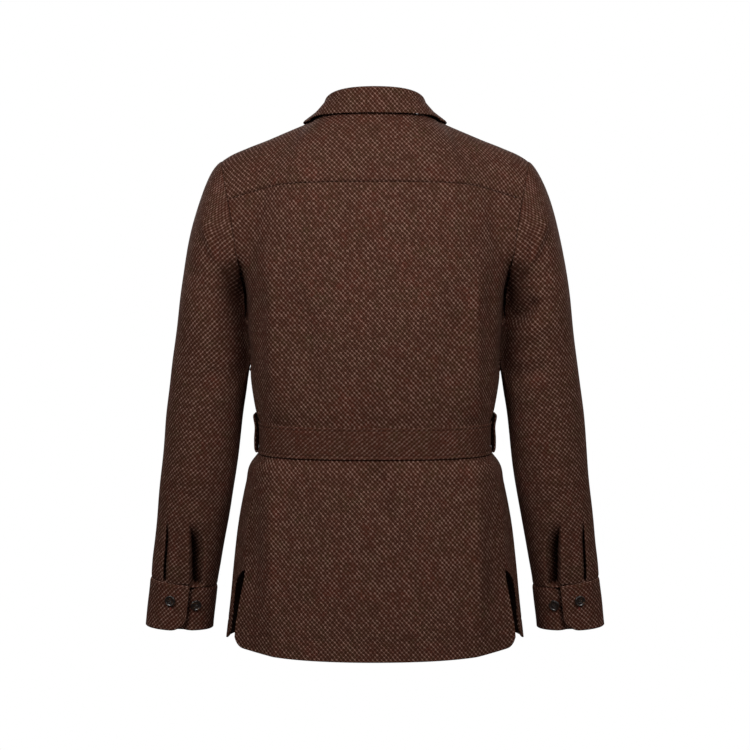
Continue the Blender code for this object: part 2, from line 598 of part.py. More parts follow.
def button(name, carrier, place, u, v, out, side=1.0):
    """A turned button that lies on a surface, facing out of it."""
    bm = bmesh.new()
    ring = [bm.verts.new((BUTTON_RADIUS * r, 0.0, BUTTON_HEIGHT * h)) for r, h in BUTTON]
    edges = [bm.edges.new(pair) for pair in zip(ring, ring[1:])]
    bmesh.ops.spin(bm, geom=ring + edges, axis=(0, 0, 1), cent=(0, 0, 0), steps=BUTTON_SIDES, angle=2 * math.pi)
    bmesh.ops.remove_doubles(bm, verts=bm.verts[:], dist=1e-6)
    u, v = np.array([float(u)]), np.array([float(v)])
    face = normals(place, u, v, out)[0]
    across = np.cross((0.0, 0.0, 1.0), face)
    across /= np.linalg.norm(across)
    rise = np.cross(face, across)
    middle = place(u, v)[0]
    middle = middle + face * seat(carrier, middle, face, across, rise)
    for vert in bm.verts:
        point = middle + across * vert.co.x + rise * vert.co.y + face * vert.co.z
        vert.co = (side * point[0], point[1], point[2])
    return solid(name, bm)


def spread(count, low=0.0, high=1.0):
    return list(np.linspace(low, high, count + 1))


def main():
    belt_rows = [(height - HEM) / (CHEST - HEM) for height in (-0.464, -0.4545, -0.4475, -0.4075, -0.390)]
    low_rows = [0.0, 0.07, 0.15, 0.23, 0.33, 0.43, 0.53] + belt_rows + [0.90, 1.0]
    half = spread(6, 0.0, NECK_SHARE) + OUTER_STATIONS
    across = [-t for t in half[:0:-1]] + half
    seam = float(yoke_seam(np.array([1.0]))[0])
    back_rows = low_rows + [1 + (180 - turn) / 180 / seam for turn in BACK_STATIONS[1:]] + [2.0]
    yoke_rows = [0.0] + [(1 - turn / 180 - seam) / (1 - seam) for turn in YOKE_STATIONS]
    cloth("back", across, back_rows, back_place, CLOTH, -1.0)
    cloth("back_yoke", across, yoke_rows, yoke_place, CLOTH, -1.0)
    front_across = [0.0] + [(t + FRONT_LAP_HIGH) / (1 + FRONT_LAP_HIGH) for t in half]
    front_rows = low_rows + [1 + (turn - 180) / 180 for turn in FRONT_STATIONS[1:]]
    sleeve_across = [turn / 360 for turn in SLEEVE_STATIONS]
    sleeve_rows = [0.0, 0.10, 0.22, 0.36, 0.52, 0.68, 0.84, 1.0]
    sleeve_rows += [1.12, 1.24, 1.36, 1.48, 1.58, 1.68, 1.78, 1.86, 1.93, 2.0]
    cuff_across = [0.0, 0.008, 0.02, 0.045] + spread(22, 0.08, 0.955) + [0.98, 0.992, 1.0]
    loop_rows = [0, 0.06, 0.16, 0.38, 0.62, 0.86, 0.94, 1.0]
    for side, hand in ((1.0, "left"), (-1.0, "right")):
        lapped = hand == "left"
        cloth("front_" + hand, front_across, front_rows, lambda u, v: front_place(u, v, lapped), CLOTH, 1.0, side)
        cloth("sleeve_" + hand, sleeve_across, sleeve_rows, sleeve_place, CLOTH, 1.0, side, closed=True)
        cloth("cuff_" + hand, cuff_across, spread(3), cuff_place, CUFF_WALL, -1.0, side)
        cloth("belt_loop_" + hand, spread(2), loop_rows, loop_place, CLOTH, -1.0, side)
        for number, (angle, height) in enumerate(CUFF_BUTTONS, 1):
            u = ((CUFF_END_ANGLE - angle) % 360) / (360 + CUFF_UNDERLAP)
            v = (height - CUFF_BOTTOM) / (CUFF_TOP - CUFF_BOTTOM)
            button("cuff_button_%s_%d" % (hand, number), "cuff_left", cuff_place, u, v, -1.0, side)
    fall = [0.0, 0.17, 0.34, 0.395, 0.45, 0.505, 0.56, 0.67, 0.78, 0.89, 1.0]
    neck_half = spread(6, 0.0, COLLAR_BACK_SHARE)
    neck_half += [COLLAR_BACK_SHARE + (1 - COLLAR_BACK_SHARE) * 15 * k / (90 - COLLAR_END) for k in range(1, 6)] + [1.0]
    cloth("collar", [-n for n in neck_half[:0:-1]] + neck_half, fall, collar_place, COLLAR_WALL, 1.0)
    cloth("belt", spread(84), spread(2), belt_place, BELT_WALL, -1.0)
    for number, height in enumerate(FRONT_BUTTON_HEIGHTS, 1):
        low = height <= CHEST
        rows = np.linspace(0.0, 1.0, 2001) if low else np.linspace(1.0, 2.0, 2001)
        lap = FRONT_LAP_LOW + (FRONT_LAP_HIGH - FRONT_LAP_LOW) * np.clip(rows - 1, 0, 1)
        middle = lap / (1 + lap)
        best = int(np.argmin(np.abs(front_place(middle, rows, True)[:, 2] - height)))
        lapped = (lambda u, v: front_place(u, v, True))
        button("front_button_%d" % number, "front_left", lapped, middle[best], rows[best], 1.0)
    under = BELT_UNDER_ANGLE - 360.0
    button("belt_button", "belt", belt_place, (BELT_BUTTON_ANGLE - under) / (BELT_END_ANGLE - under), 0.5, -1.0)


for old in list(bpy.data.objects):
    bpy.data.objects.remove(old)
PARTS = bpy.data.collections.new("safari_jacket")
bpy.context.scene.collection.children.link(PARTS)
main()
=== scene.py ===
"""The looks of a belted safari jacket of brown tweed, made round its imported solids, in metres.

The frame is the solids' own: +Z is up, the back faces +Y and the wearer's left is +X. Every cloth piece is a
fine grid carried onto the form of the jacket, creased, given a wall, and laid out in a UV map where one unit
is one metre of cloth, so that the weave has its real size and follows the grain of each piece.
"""

import math

import bpy
import numpy as np
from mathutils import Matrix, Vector
from mathutils.bvhtree import BVHTree


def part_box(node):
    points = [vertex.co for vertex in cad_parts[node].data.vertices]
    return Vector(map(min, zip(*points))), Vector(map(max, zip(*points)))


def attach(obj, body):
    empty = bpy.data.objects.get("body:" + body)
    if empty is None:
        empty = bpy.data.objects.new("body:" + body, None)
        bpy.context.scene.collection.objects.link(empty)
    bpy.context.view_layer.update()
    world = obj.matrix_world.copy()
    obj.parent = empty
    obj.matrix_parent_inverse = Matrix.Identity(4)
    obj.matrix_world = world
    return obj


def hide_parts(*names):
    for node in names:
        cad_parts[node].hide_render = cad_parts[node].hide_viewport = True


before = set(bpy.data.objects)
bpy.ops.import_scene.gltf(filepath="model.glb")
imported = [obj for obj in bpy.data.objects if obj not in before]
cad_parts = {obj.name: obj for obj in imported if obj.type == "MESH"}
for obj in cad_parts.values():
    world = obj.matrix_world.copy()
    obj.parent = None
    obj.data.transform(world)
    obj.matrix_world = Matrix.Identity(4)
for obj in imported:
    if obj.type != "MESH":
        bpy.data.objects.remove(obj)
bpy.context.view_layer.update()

# Walls, the way between pieces that meet or lie on each other, and how far rims bulge, as shares of a wall.
CLOTH, COLLAR_WALL, CUFF_WALL, BELT_WALL = 0.002, 0.002, 0.0025, 0.0025
SEAM, LAP_GAP = 0.0003, 0.0006
PLAIN_RIM, ROUND_RIM = 0.22, 0.45

# The way left at a seam of the body: shares of the upper body up and across, and an angle round the lower.
SEAM_UP, SEAM_ACROSS = 0.0006, 0.0008
BODY_RADIUS = 0.15
SEAM_ANGLE = 0.6 * math.degrees(SEAM / BODY_RADIUS)

# Heights of the body. Pairs are where a change starts and where it is full.
HEM, HEM_RISE_AT_SIDE = -0.7130, 0.006
ARMPIT, CHEST, CHEST_CURVE = -0.268, -0.312, 6
HEM_FADE, CHEST_FADE = (0.0, 0.35), (0.80, 1.0)
HEM_CORNER, HEM_CORNER_FROM, CORNER_TURN = 0.012, 0.93, 0.999
FRONT_HEM_RISE, FRONT_RISE_ACROSS = 0.0045, (0.5, 1.0)
VENT_TOP = -0.604
VENT_OPENING, VENT_OPENS_IN = 13.5, 0.014
VENT_FLARE, VENT_FLARE_REACH, VENT_FLARE_FADE = 0.0090, 0.050, (VENT_TOP + 0.02, HEM + 0.02)
VENT_SEWN, SKIRT_FADE = (VENT_TOP - 0.012, VENT_TOP + 0.010), (-0.470, -0.450)
UNDERLAP_ANGLE, UNDERLAP_FRONT_ANGLE = 9.0, 2.0
UNDERLAP_SUNK, UNDERLAP_UP, UNDERLAP_PAST_VENT = 0.0160, 0.020, 0.004

# Neck and shoulders.
NECK_HALF_WIDTH = 0.078
NAPE_Y, NAPE_Z = 0.058, 0.010
PIT_Y, PIT_Z = -0.076, -0.072
RIDGE_Y = -0.004
NECK_SHARE, NECK_CURVE = 0.4, 1.5
NECK_ASIDE, NECK_ASIDE_END, NECK_CLIMB = 0.14, 0.80, 0.42
NECK_SPREAD, SPREAD_FADE = 0.5, (0.55, 1.0)
SPREAD_SHARES = ((-1, 0.15), (-0.5, 0.2), (0, 0.3), (0.5, 0.2), (1, 0.15))
FRONT_LIFT, BACK_LIFT, LEAN_STEP = 0.33, 0.38, 0.004
OVER_SHOULDER, FRONT_OVER_NECK, BACK_OVER_NECK = (0.30, 0.02), (0.10, 0.16), (0.16, 0.24)
YOKE_MID, YOKE_EDGE, YOKE_CURVE = -0.085, -0.1085, 2.5
TO_ARMHOLE_CURVE = 4

# Armhole, an oval from the shoulder point round by the back to the armpit.
ARMHOLE_MID = -0.16225
ARMHOLE_HALF_HEIGHT = 0.10575
ARMHOLE_BACK, ARMHOLE_FRONT = 0.064, 0.062
ARMHOLE_X, ARMHOLE_X_SWING = 0.192, 0.015
ARMHOLE_BACK_HOLLOW, ARMHOLE_FRONT_HOLLOW = 0.006, 0.012

# Fronts, left over right.
FRONT_LAP_LOW, FRONT_LAP_HIGH = 0.090, 0.060
LAP_FADE, UNDER_LAP_FADE = (0.10, 0.26), (0.06, 0.14)

# Sleeves and cuffs. Angles go round a sleeve from outward (0) by the back (90) to the body (180).
CUFF_TOP, CUFF_BOTTOM = -0.6335, -0.6965
CUFF_TILT, CUFF_BOTTOM_TILT = 0.006, 0.002
CUFF_STANDS_OUT, CUFF_CORNER, CUFF_RADIUS = 0.0010, 0.019, 0.042
CUFF_END_ANGLE, CUFF_UNDERLAP, CUFF_LAP_FROM = 103.5, 42.0, 285.0
CUFF_END_SUNK, CUFF_END_FROM, CUFF_END_CURVE = 0.0095, 344.0, 1.5
SLEEVE_JOIN, SLEEVE_JOIN_TILT, SLEEVE_STEP = -0.287, 0.032, 0.002
SLEEVE_SEAM_ANGLE, SLEEVE_GRAIN_ANGLE, SLEEVE_RADIUS = 205.0, 70.0, 0.05
SLEEVE_WAY = np.array([-0.132, 0.081, 0.988])
HEAD_OFF_SEAM, HEAD_OFF_FADE = 1.5 * SEAM, (0.0, 0.3)
HEAD_ASIDE, HEAD_ASIDE_FADE = 0.050, (-0.170, -0.065)
SLIT_ANGLE, SLIT_LEAN, SLIT_FADE, SLIT_DEEPENS = 104.0, 160.0, (-0.529, -0.575), (-0.535, -0.592)
SLIT_STEP_OUT, SLIT_FLAP_ANGLES, SLIT_STEP_ANGLE = 0.0018, (-26.0, -3.0), 1.0
SLIT_STEP_IN, SLIT_SLOPE_ANGLE, SLIT_SLOPE_CURVE = 0.0400, 27.0, 1.3
PLEAT_ANGLE, PLEAT_LEAN, PLEAT_FADE = 57.0, 83.0, (-0.536, -0.581)
PLEAT_DEPTH, PLEAT_REACH_AFTER, PLEAT_REACH_BEFORE = 0.0180, 3.8, 1.2
GATHER_ANGLE, GATHER_FADE, GATHER_DEPTH, GATHER_REACH = 119.0, (-0.590, -0.620), 0.0040, 4.0

# Collar. Across it, its stand ends and its fall starts at the two shares of its fold.
FOLD_RADIUS, COLLAR_FOLD = 0.005, (0.34, 0.56)
COLLAR_END_X, COLLAR_BACK_SHARE = 0.004, 0.45
COLLAR_END = math.degrees(math.asin(COLLAR_END_X / NECK_HALF_WIDTH))
COLLAR_ON_LAP, FALL_DOWN, FALL_OUT = 0.65, 0.010, 0.002

# Belt and its loops.
BELT_MID, BELT_WIDTH, BELT_LIES_OFF = -0.4275, 0.040, 0.0008
BELT_STITCH_AT, BELT_STITCH_REACH, BELT_STITCH_DIP = 0.085, 0.030, 0.0006
BELT_END_ANGLE, BELT_UNDER_ANGLE, BELT_LAP_ANGLES = 205.0, 165.0, (115.0, 158.0)
BELT_OVER_LAP = (13.0, 36.0)
BELT_PINCH, BELT_PINCH_REACH, BELT_PINCH_HEIGHT = 0.0045, 16.0, 0.023
LOOP_WIDTH, LOOP_HEIGHT, LOOP_UP = 0.012, 0.053, 0.0045
LOOP_ANGLE, LOOP_FROM_AXIS, LOOP_WALL = 84.0, 0.11, 0.0026
LOOP_STANDS_OUT, LOOP_SLOPE, LOOP_SLOPE_FROM, LOOP_NEAR_CURVE = 0.0108, 0.0040, 0.4, 3.2
LOOP_FAR_OUT, LOOP_OVER_BELT, LOOP_FAR_CURVE = 0.0064, 0.0215, 16

# Sewing.
SEAM_DIP, SEAM_REACH, SEAM_CURVE = 0.0011, 0.0019, 1.5
YOKE_DIP, YOKE_DIP_FADE, ARMHOLE_DIP, SLEEVE_SEAM_SHARE = 0.0022, (0.0, 0.009), 0.0004, 0.7
SKIRT_SEAM_RISE, SKIRT_SEAM_SPREAD, SKIRT_SEAM_DIP = 0.0009, 0.008, 0.0024
HEM_DEPTH, HEM_GROOVE, HEM_GROOVE_REACH = 0.026, 0.00045, 0.0018
HEM_TURNING, HEM_TURNING_FADE = 0.0007, (HEM_DEPTH - 0.002, HEM_DEPTH)
BUTTONHOLE_LENGTH, BUTTONHOLE_HALF_WIDTH, BUTTONHOLE_PITCH = 0.0175, 0.0011, 0.00075
BUTTONHOLE_SLIT, BUTTONHOLE_SHIFT, CLOTH_FROM, CLOTH_WITHIN = 0.00015, 0.0035, 0.01, 0.03
WHIP_LIFTS = (0.00005, 0.0003, -0.0001)
BUTTON_HOLE_OFF, BUTTON_HOLE_RADIUS, BUTTON_HOLE_DEPTH = 0.0015, 0.00085, 0.0011
BUTTON_HOLE_EDGE, BUTTON_HOLE_ANGLES = (0.55, 1.1), [math.radians(a) for a in (45, 135, 225, 315)]
THREAD_RADIUS, SEWING_RADIUS, THREAD_SIDES = 0.00032, 0.00042, 6
SEWING_LIFT, SEWING_SUNK, SEWING_ASIDE, SEWING_BOW = 0.78, 0.0004, 0.00028, 0.0007

# The weave: one cell of its diamonds, how strong its crossing strokes are, and its yarns.
WEAVE_ACROSS, WEAVE_UP, WEAVE_LEAN = 0.0059, 0.0065, 0.21
YARNS = {
    "Ground": (0.0465, 0.0158, 0.0090, 1), "Red Yarn": (0.068, 0.0158, 0.0092, 1),
    "Olive Yarn": (0.043, 0.0215, 0.0090, 1),
}
# The belt's copy of the tweed has a dimmer light yarn, 0.190 against 0.262: painted shade for the shade that
# lies on the belt.
LIGHT_YARN, BELT_SHADE_LIGHT_YARN, LIGHT_YARN_GREEN, LIGHT_YARN_BLUE = 0.262, 0.190, 0.576, 0.45
GRAIN = {"left": "mirrored", "right": "straight"}

# How the weave bends and varies: noises as scale, detail and roughness, and shares as a factor and a start.
SLUB_SCALE, SLUB_BEND = 140.0, (0.0022, 0.0022, 0.0)
FIBRE_NOISE, YARN_NOISE, CLOUD_NOISE = (800.0, 3.0, 0.65), (480.0, 3.0, 0.7), (34.0, 3.0)
STROKE_FROM, STROKE_SWELL, STROKE_CURVE, STROKE_SHARE = 0.74, (0.72, 0.28), 1.5, (1.30, 0.44)
CLOUD_SHARE, FIBRE_SHARE, YARN_SHARE, DEPTH_SHARE = (0.6, 0.7), (2.6, -0.42), (2.5, -0.22), (0.20, 0.80)
RED_CLOUDS, OLIVE_CLOUDS, FIBRE_HEIGHT = (0.45, 0.75), (0.42, 0.75), 0.45
TWEED_ROUGH, TWEED_BUMP = (0.0, 1.6, 0.97, 0.86), (0.55, 0.0007)

# Low unevenness of the cloth by piece, as its size and rise, and the waves that make it: ways and starts.
BODY_WANDER, YOKE_WANDER = (0.085, 0.0006), (0.080, 0.0005)
SLEEVE_WANDER, CUFF_WANDER = (0.070, 0.0007), (0.045, 0.0004)
CUFF_WANDER_STARTS, CUFF_WANDER_ENDS = (0.0, 0.06), (0.80, 0.88)
WAVES = ((0.9, 0.3, 0.5, 0.0), (-0.5, 0.4, 0.9, 1.7), (0.3, -0.8, 0.6, 3.1), (0.7, 0.6, -0.7, 4.4))
WAVE_GROWTH = 0.23

# Where creases fade: at the belt, from an edge or a seam, along their own way, and on cloth that turns away.
FOLDS_OFF_BELT, CREASES_OFF_BELT, CREASES_OFF_LAP = (0.016, 0.040), (0.014, 0.034), (0.0, 0.05)
CREASES_OFF_ARMHOLE, GATHERS_OFF_CUFF = (0.0, 0.022), (0.0, 0.004)
CREASE_STARTS, CREASE_ENDS, CREASE_TURNS_AWAY = (0.0, 0.35), (0.65, 1.0), (-0.05, 0.35)

# Steps that lines and sums are taken in, the rows where a piece's upper part starts, and how far ahead of the
# slit and the pleat a sleeve's columns crowd, in degrees.
CREASE_STEPS, HOLLOW_SEAM_STEPS, HOLLOW_LOW_STEPS, ARC_STEPS, SPACING_STEPS = 25, 48, 33, 32, 6001
BODY_CHEST_ROW, SLEEVE_RING_ROW, CROWD_AHEAD = 0.63, 0.33, 5.0

# The layout of the cloth past the ends of its guide line: how far, and its metres up for a metre of height.
LAYOUT_BELOW, LAYOUT_ABOVE, LAYOUT_SLOPE, LAYOUT_STEPS = 0.05, 0.15, 1.3, 400


def hermite(start, end, leave, arrive, f):
    """The smooth way from start to end, with the given directions at its ends."""
    g = f * f
    h = g * f
    return (2 * h - 3 * g + 1) * start + (h - 2 * g + f) * leave + (3 * g - 2 * h) * end + (h - g) * arrive


def ease(low, high, at):
    """Goes smoothly from 0 at low to 1 at high."""
    f = np.clip((at - low) / (high - low), 0.0, 1.0)
    return f * f * (3 - 2 * f)


class Table:
    """Named columns over the first one, with a smooth curve through each."""

    def __init__(self, columns, rows):
        self.names = columns.split()
        self.rows = np.array(sorted(rows), float)

    def at(self, name, key):
        keys = self.rows[:, 0]
        values = self.rows[:, self.names.index(name)]
        step = np.diff(keys)
        rise = np.diff(values) / step
        inner = (rise[:-1] * step[1:] + rise[1:] * step[:-1]) / (step[:-1] + step[1:])
        slope = np.concatenate(([rise[0]], inner, [rise[-1]]))
        key = np.clip(np.asarray(key, float), keys[0], keys[-1])
        i = np.clip(np.searchsorted(keys, key, side="right") - 1, 0, len(step) - 1)
        f = (key - keys[i]) / step[i]
        return hermite(values[i], values[i + 1], slope[i] * step[i], slope[i + 1] * step[i], f)


# Level sections of the body: its half width, where its back and front lie, and how square it is.
TORSO = Table("height half_width back front square", [
    (-0.7130, 0.2048, 0.1270, -0.1360, 2.45),
    (-0.6600, 0.1990, 0.1255, -0.1340, 2.50),
    (-0.6000, 0.1928, 0.1230, -0.1310, 2.55),
    (-0.5400, 0.1853, 0.1200, -0.1285, 2.65),
    (-0.4900, 0.1752, 0.1165, -0.1255, 2.75),
    (-0.4640, 0.1690, 0.1135, -0.1232, 2.75),
    (-0.4545, 0.1620, 0.1104, -0.1206, 2.72),
    (-0.4475, 0.1582, 0.1087, -0.1192, 2.70),
    (-0.4415, 0.1577, 0.1085, -0.1190, 2.70),
    (-0.4275, 0.1577, 0.1085, -0.1190, 2.70),
    (-0.4135, 0.1577, 0.1085, -0.1190, 2.70),
    (-0.4075, 0.1581, 0.1087, -0.1192, 2.70),
    (-0.3900, 0.1620, 0.1118, -0.1220, 2.75),
    (-0.3520, 0.1680, 0.1155, -0.1260, 2.80),
    (-0.2980, 0.1728, 0.1180, -0.1310, 2.70),
    (-0.2680, 0.1762, 0.1190, -0.1330, 2.60),
])

# Where the side seam runs, as the angle from the middle of the back.
SIDE_SEAM = Table("height angle", [
    (-0.7130, 58.0), (-0.5500, 58.0), (-0.4500, 58.0), (-0.3900, 68.0), (-0.3300, 84.0), (-0.3000, 89.0),
    (-0.2680, 90.0),
])

# The line of the shoulder from the neck to the sleeve.
SHOULDER = Table("x height", [
    (0.078, 0.0000), (0.117, -0.0165), (0.143, -0.0275), (0.172, -0.0385), (0.196, -0.0493), (0.207, -0.0565),
])

# Level sections of the left sleeve.
SLEEVE = Table("height mid_x mid_y half_width half_depth", [
    (-0.7100, 0.2735, -0.0350, 0.0464, 0.0375),
    (-0.6650, 0.2682, -0.0320, 0.0463, 0.0380),
    (-0.6310, 0.2640, -0.0295, 0.0462, 0.0395),
    (-0.6080, 0.2609, -0.0275, 0.0474, 0.0430),
    (-0.5750, 0.2558, -0.0250, 0.0482, 0.0465),
    (-0.5190, 0.2473, -0.0200, 0.0504, 0.0510),
    (-0.4400, 0.2370, -0.0120, 0.0518, 0.0560),
    (-0.3970, 0.2324, -0.0090, 0.0525, 0.0585),
    (-0.3450, 0.2249, -0.0050, 0.0523, 0.0615),
    (-0.2980, 0.2225, -0.0030, 0.0484, 0.0655),
    (-0.2434, 0.2245, -0.0020, 0.0400, 0.0700),
])

# How the sleeve leaves the armhole and comes to its first level section, by the angle round it.
SLEEVE_HEAD = Table("angle leave_x leave_y leave_z arrive", [
    (0.0, 0.086, 0.000, -0.060, 0.235),
    (45.0, 0.082, 0.010, -0.046, 0.200),
    (90.0, 0.082, 0.019, -0.022, 0.140),
    (135.0, 0.048, 0.024, -0.010, 0.085),
    (180.0, 0.014, 0.000, -0.010, 0.055),
    (225.0, 0.048, -0.010, -0.010, 0.085),
    (270.0, 0.082, -0.012, -0.022, 0.140),
    (315.0, 0.082, -0.010, -0.046, 0.200),
    (360.0, 0.086, 0.000, -0.060, 0.235),
])

# The collar from the middle of the back (0) to its front end (1): the height and lean of its stand, and
# the place of its edge on the body (share across, share up the back and over to the front) and off it.
COLLAR = Table("share stand lean edge_t edge_q edge_off", [
    (0.00, 0.0295, -0.001, 0.000, 0.969, 0.0062),
    (0.15, 0.0292, -0.003, 0.184, 0.967, 0.0062),
    (0.30, 0.0264, -0.011, 0.356, 0.964, 0.0056),
    (0.375, 0.0234, -0.015, 0.418, 0.951, 0.0050),
    (0.41, 0.0230, -0.016, 0.462, 0.985, 0.0047),
    (0.45, 0.0226, -0.017, 0.468, 1.019, 0.0046),
    (0.49, 0.0228, -0.0165, 0.442, 1.054, 0.0050),
    (0.525, 0.0232, -0.016, 0.414, 1.091, 0.0050),
    (0.60, 0.0242, -0.014, 0.374, 1.127, 0.0050),
    (0.75, 0.0250, -0.009, 0.312, 1.185, 0.0050),
    (0.90, 0.0240, -0.004, 0.258, 1.280, 0.0050),
    (1.00, 0.0220, -0.002, 0.222, 1.389, 0.0060),
])

# Broad folds of the body, as its solids have them: middle in angle and height, reach and rise.
BODY_FOLDS = (
    # angle height half_angle half_height rise
    (48.0, -0.330, 7.0, 0.080, 0.0030),
    (33.0, -0.320, 9.0, 0.080, -0.0022),
    (50.0, -0.505, 7.0, 0.050, 0.0035),
    (36.0, -0.500, 8.0, 0.050, -0.0030),
    (0.0, -0.468, 6.0, 0.022, -0.0028),
    (118.0, -0.480, 9.0, 0.040, -0.0030),
    (132.0, -0.500, 8.0, 0.055, 0.0030),
    (120.0, -0.365, 9.0, 0.045, -0.0030),
)

# Creases by piece, each a line across the face that is seen from the back (1) or the front (-1): from x and
# height, to x and height, how far its middle bows to the left of the way, its reach on the left and on the
# right of the way, and its rise, below zero for a trough.
CREASES = {
    "sleeve_left": (
        # face x z x z bow left right rise
        (1, 0.231, -0.122, 0.186, -0.226, 0.004, 0.007, 0.017, 0.0075),
        (1, 0.206, -0.150, 0.178, -0.262, 0.003, 0.010, 0.010, -0.0080),
        (1, 0.250, -0.185, 0.205, -0.258, 0.004, 0.014, 0.012, -0.0030),
        (1, 0.205, -0.330, 0.240, -0.372, 0.004, 0.012, 0.016, -0.0026),
        (1, 0.262, -0.455, 0.236, -0.515, 0.003, 0.014, 0.014, 0.0020),
        (-1, 0.196, -0.165, 0.192, -0.265, -0.006, 0.009, 0.009, -0.0060),
        (-1, 0.222, -0.140, 0.205, -0.262, -0.006, 0.012, 0.010, 0.0050),
        (-1, 0.196, -0.378, 0.262, -0.404, -0.006, 0.009, 0.012, -0.0056),
        (-1, 0.198, -0.408, 0.252, -0.432, -0.005, 0.008, 0.011, -0.0040),
        (-1, 0.204, -0.352, 0.256, -0.366, -0.004, 0.010, 0.008, 0.0034),
    ),
    "sleeve_right": (
        (1, -0.232, -0.116, -0.184, -0.228, -0.004, 0.016, 0.006, 0.0085),
        (1, -0.204, -0.150, -0.178, -0.240, -0.003, 0.009, 0.009, -0.0085),
        (1, -0.222, -0.236, -0.179, -0.276, -0.002, 0.010, 0.007, -0.0095),
        (1, -0.236, -0.262, -0.186, -0.302, -0.002, 0.014, 0.010, 0.0036),
        (1, -0.236, -0.328, -0.182, -0.344, -0.002, 0.014, 0.010, -0.0040),
        (1, -0.258, -0.470, -0.232, -0.520, 0.003, 0.014, 0.014, 0.0020),
        (-1, -0.196, -0.165, -0.192, -0.265, 0.006, 0.009, 0.009, -0.0060),
        (-1, -0.224, -0.145, -0.206, -0.265, 0.006, 0.010, 0.012, 0.0050),
        (-1, -0.196, -0.384, -0.258, -0.400, 0.006, 0.012, 0.009, -0.0052),
        (-1, -0.200, -0.414, -0.250, -0.442, 0.005, 0.011, 0.008, -0.0042),
        (-1, -0.206, -0.356, -0.254, -0.372, 0.004, 0.008, 0.010, 0.0034),
    ),
    "back": (
        (1, 0.132, -0.160, 0.133, -0.384, 0.002, 0.020, 0.008, 0.0032),
        (1, 0.151, -0.190, 0.149, -0.384, 0.001, 0.011, 0.011, -0.0050),
        (1, -0.130, -0.160, -0.133, -0.384, 0.002, 0.008, 0.020, 0.0032),
        (1, -0.150, -0.185, -0.149, -0.384, 0.001, 0.011, 0.011, -0.0050),
        (1, 0.086, -0.215, 0.074, -0.390, 0.003, 0.016, 0.012, -0.0030),
        (1, -0.100, -0.240, -0.098, -0.390, 0.002, 0.010, 0.015, -0.0032),
        (1, 0.040, -0.300, 0.034, -0.390, 0.002, 0.014, 0.014, -0.0016),
        (1, -0.030, -0.310, -0.036, -0.390, 0.002, 0.012, 0.012, -0.0014),
        (1, 0.134, -0.455, 0.140, -0.700, 0.002, 0.020, 0.008, 0.0036),
        (1, 0.153, -0.455, 0.161, -0.690, 0.002, 0.012, 0.012, -0.0045),
        (1, -0.135, -0.455, -0.142, -0.700, 0.002, 0.008, 0.020, 0.0036),
        (1, -0.154, -0.455, -0.162, -0.690, 0.002, 0.012, 0.012, -0.0045),
        (1, 0.004, -0.446, -0.024, -0.548, 0.002, 0.017, 0.012, -0.0064),
        (1, 0.082, -0.452, 0.094, -0.570, 0.002, 0.018, 0.014, -0.0022),
        (1, -0.090, -0.452, -0.104, -0.590, 0.002, 0.014, 0.016, -0.0022),
    ),
    "front_left": (
        (-1, 0.168, -0.262, 0.108, -0.345, 0.006, 0.010, 0.014, -0.0054),
        (-1, 0.128, -0.300, 0.118, -0.392, 0.003, 0.012, 0.009, 0.0048),
        (-1, 0.070, -0.335, 0.064, -0.400, 0.002, 0.010, 0.010, -0.0038),
        (-1, 0.134, -0.458, 0.146, -0.640, 0.003, 0.009, 0.016, 0.0054),
        (-1, 0.082, -0.456, 0.088, -0.570, 0.003, 0.012, 0.012, -0.0045),
    ),
    "front_right": (
        (-1, -0.168, -0.262, -0.104, -0.338, -0.006, 0.014, 0.010, -0.0054),
        (-1, -0.130, -0.305, -0.120, -0.394, -0.003, 0.009, 0.012, 0.0048),
        (-1, -0.076, -0.330, -0.070, -0.400, -0.002, 0.010, 0.010, -0.0038),
        (-1, -0.136, -0.458, -0.144, -0.620, -0.003, 0.016, 0.009, 0.0054),
        (-1, -0.088, -0.456, -0.098, -0.585, -0.003, 0.012, 0.012, -0.0045),
    ),
}

# Where a sleeve lies against the body: the middle of the place, its reach, its strength, the way left between
# them, how far the body gives way, the height that it ends below, and where a sleeve faces it off its seam.
PRESS_Y, PRESS_Z, PRESS_REACH_Y, PRESS_REACH_Z = -0.004, -0.296, 0.034, 0.043
PRESS_PEAK, PRESS_GAP, PRESS_GIVE, PRESS_BELOW = 1.3, 0.0004, 0.0022, ARMPIT + 0.008
PRESS_FACING, PRESS_OFF_SEAM = (0.0, 0.6), (0.0, 0.006)

# The hollow along the lower armhole seam at the back and on between sleeve and body, which both share.
HOLLOW_SHARE, HOLLOW_FROM, HOLLOW_FULL = 0.86, 98.0, 138.0
HOLLOW_ON_SLEEVE, HOLLOW_ON_BACK, HOLLOW_CURVE = 0.0170, 0.0075, 0.95
HOLLOW_ASIDE, HOLLOW_ASIDE_FADE = 0.0014, (160.0, 178.0)
HOLLOW_END_X, HOLLOW_END_Z, HOLLOW_FADE = 0.1715, -0.375, (0.55, 1.0)

# From this x out, the body falls away to its sides: behind its middle, below the yoke and off the belt.
FALL_FROM, FALL_SLOPE = 0.1350, 0.40
FALL_BEHIND, FALL_BELOW, FALL_OFF_BELT = (0.0, 0.050), (-0.170, -0.250), (0.016, 0.045)


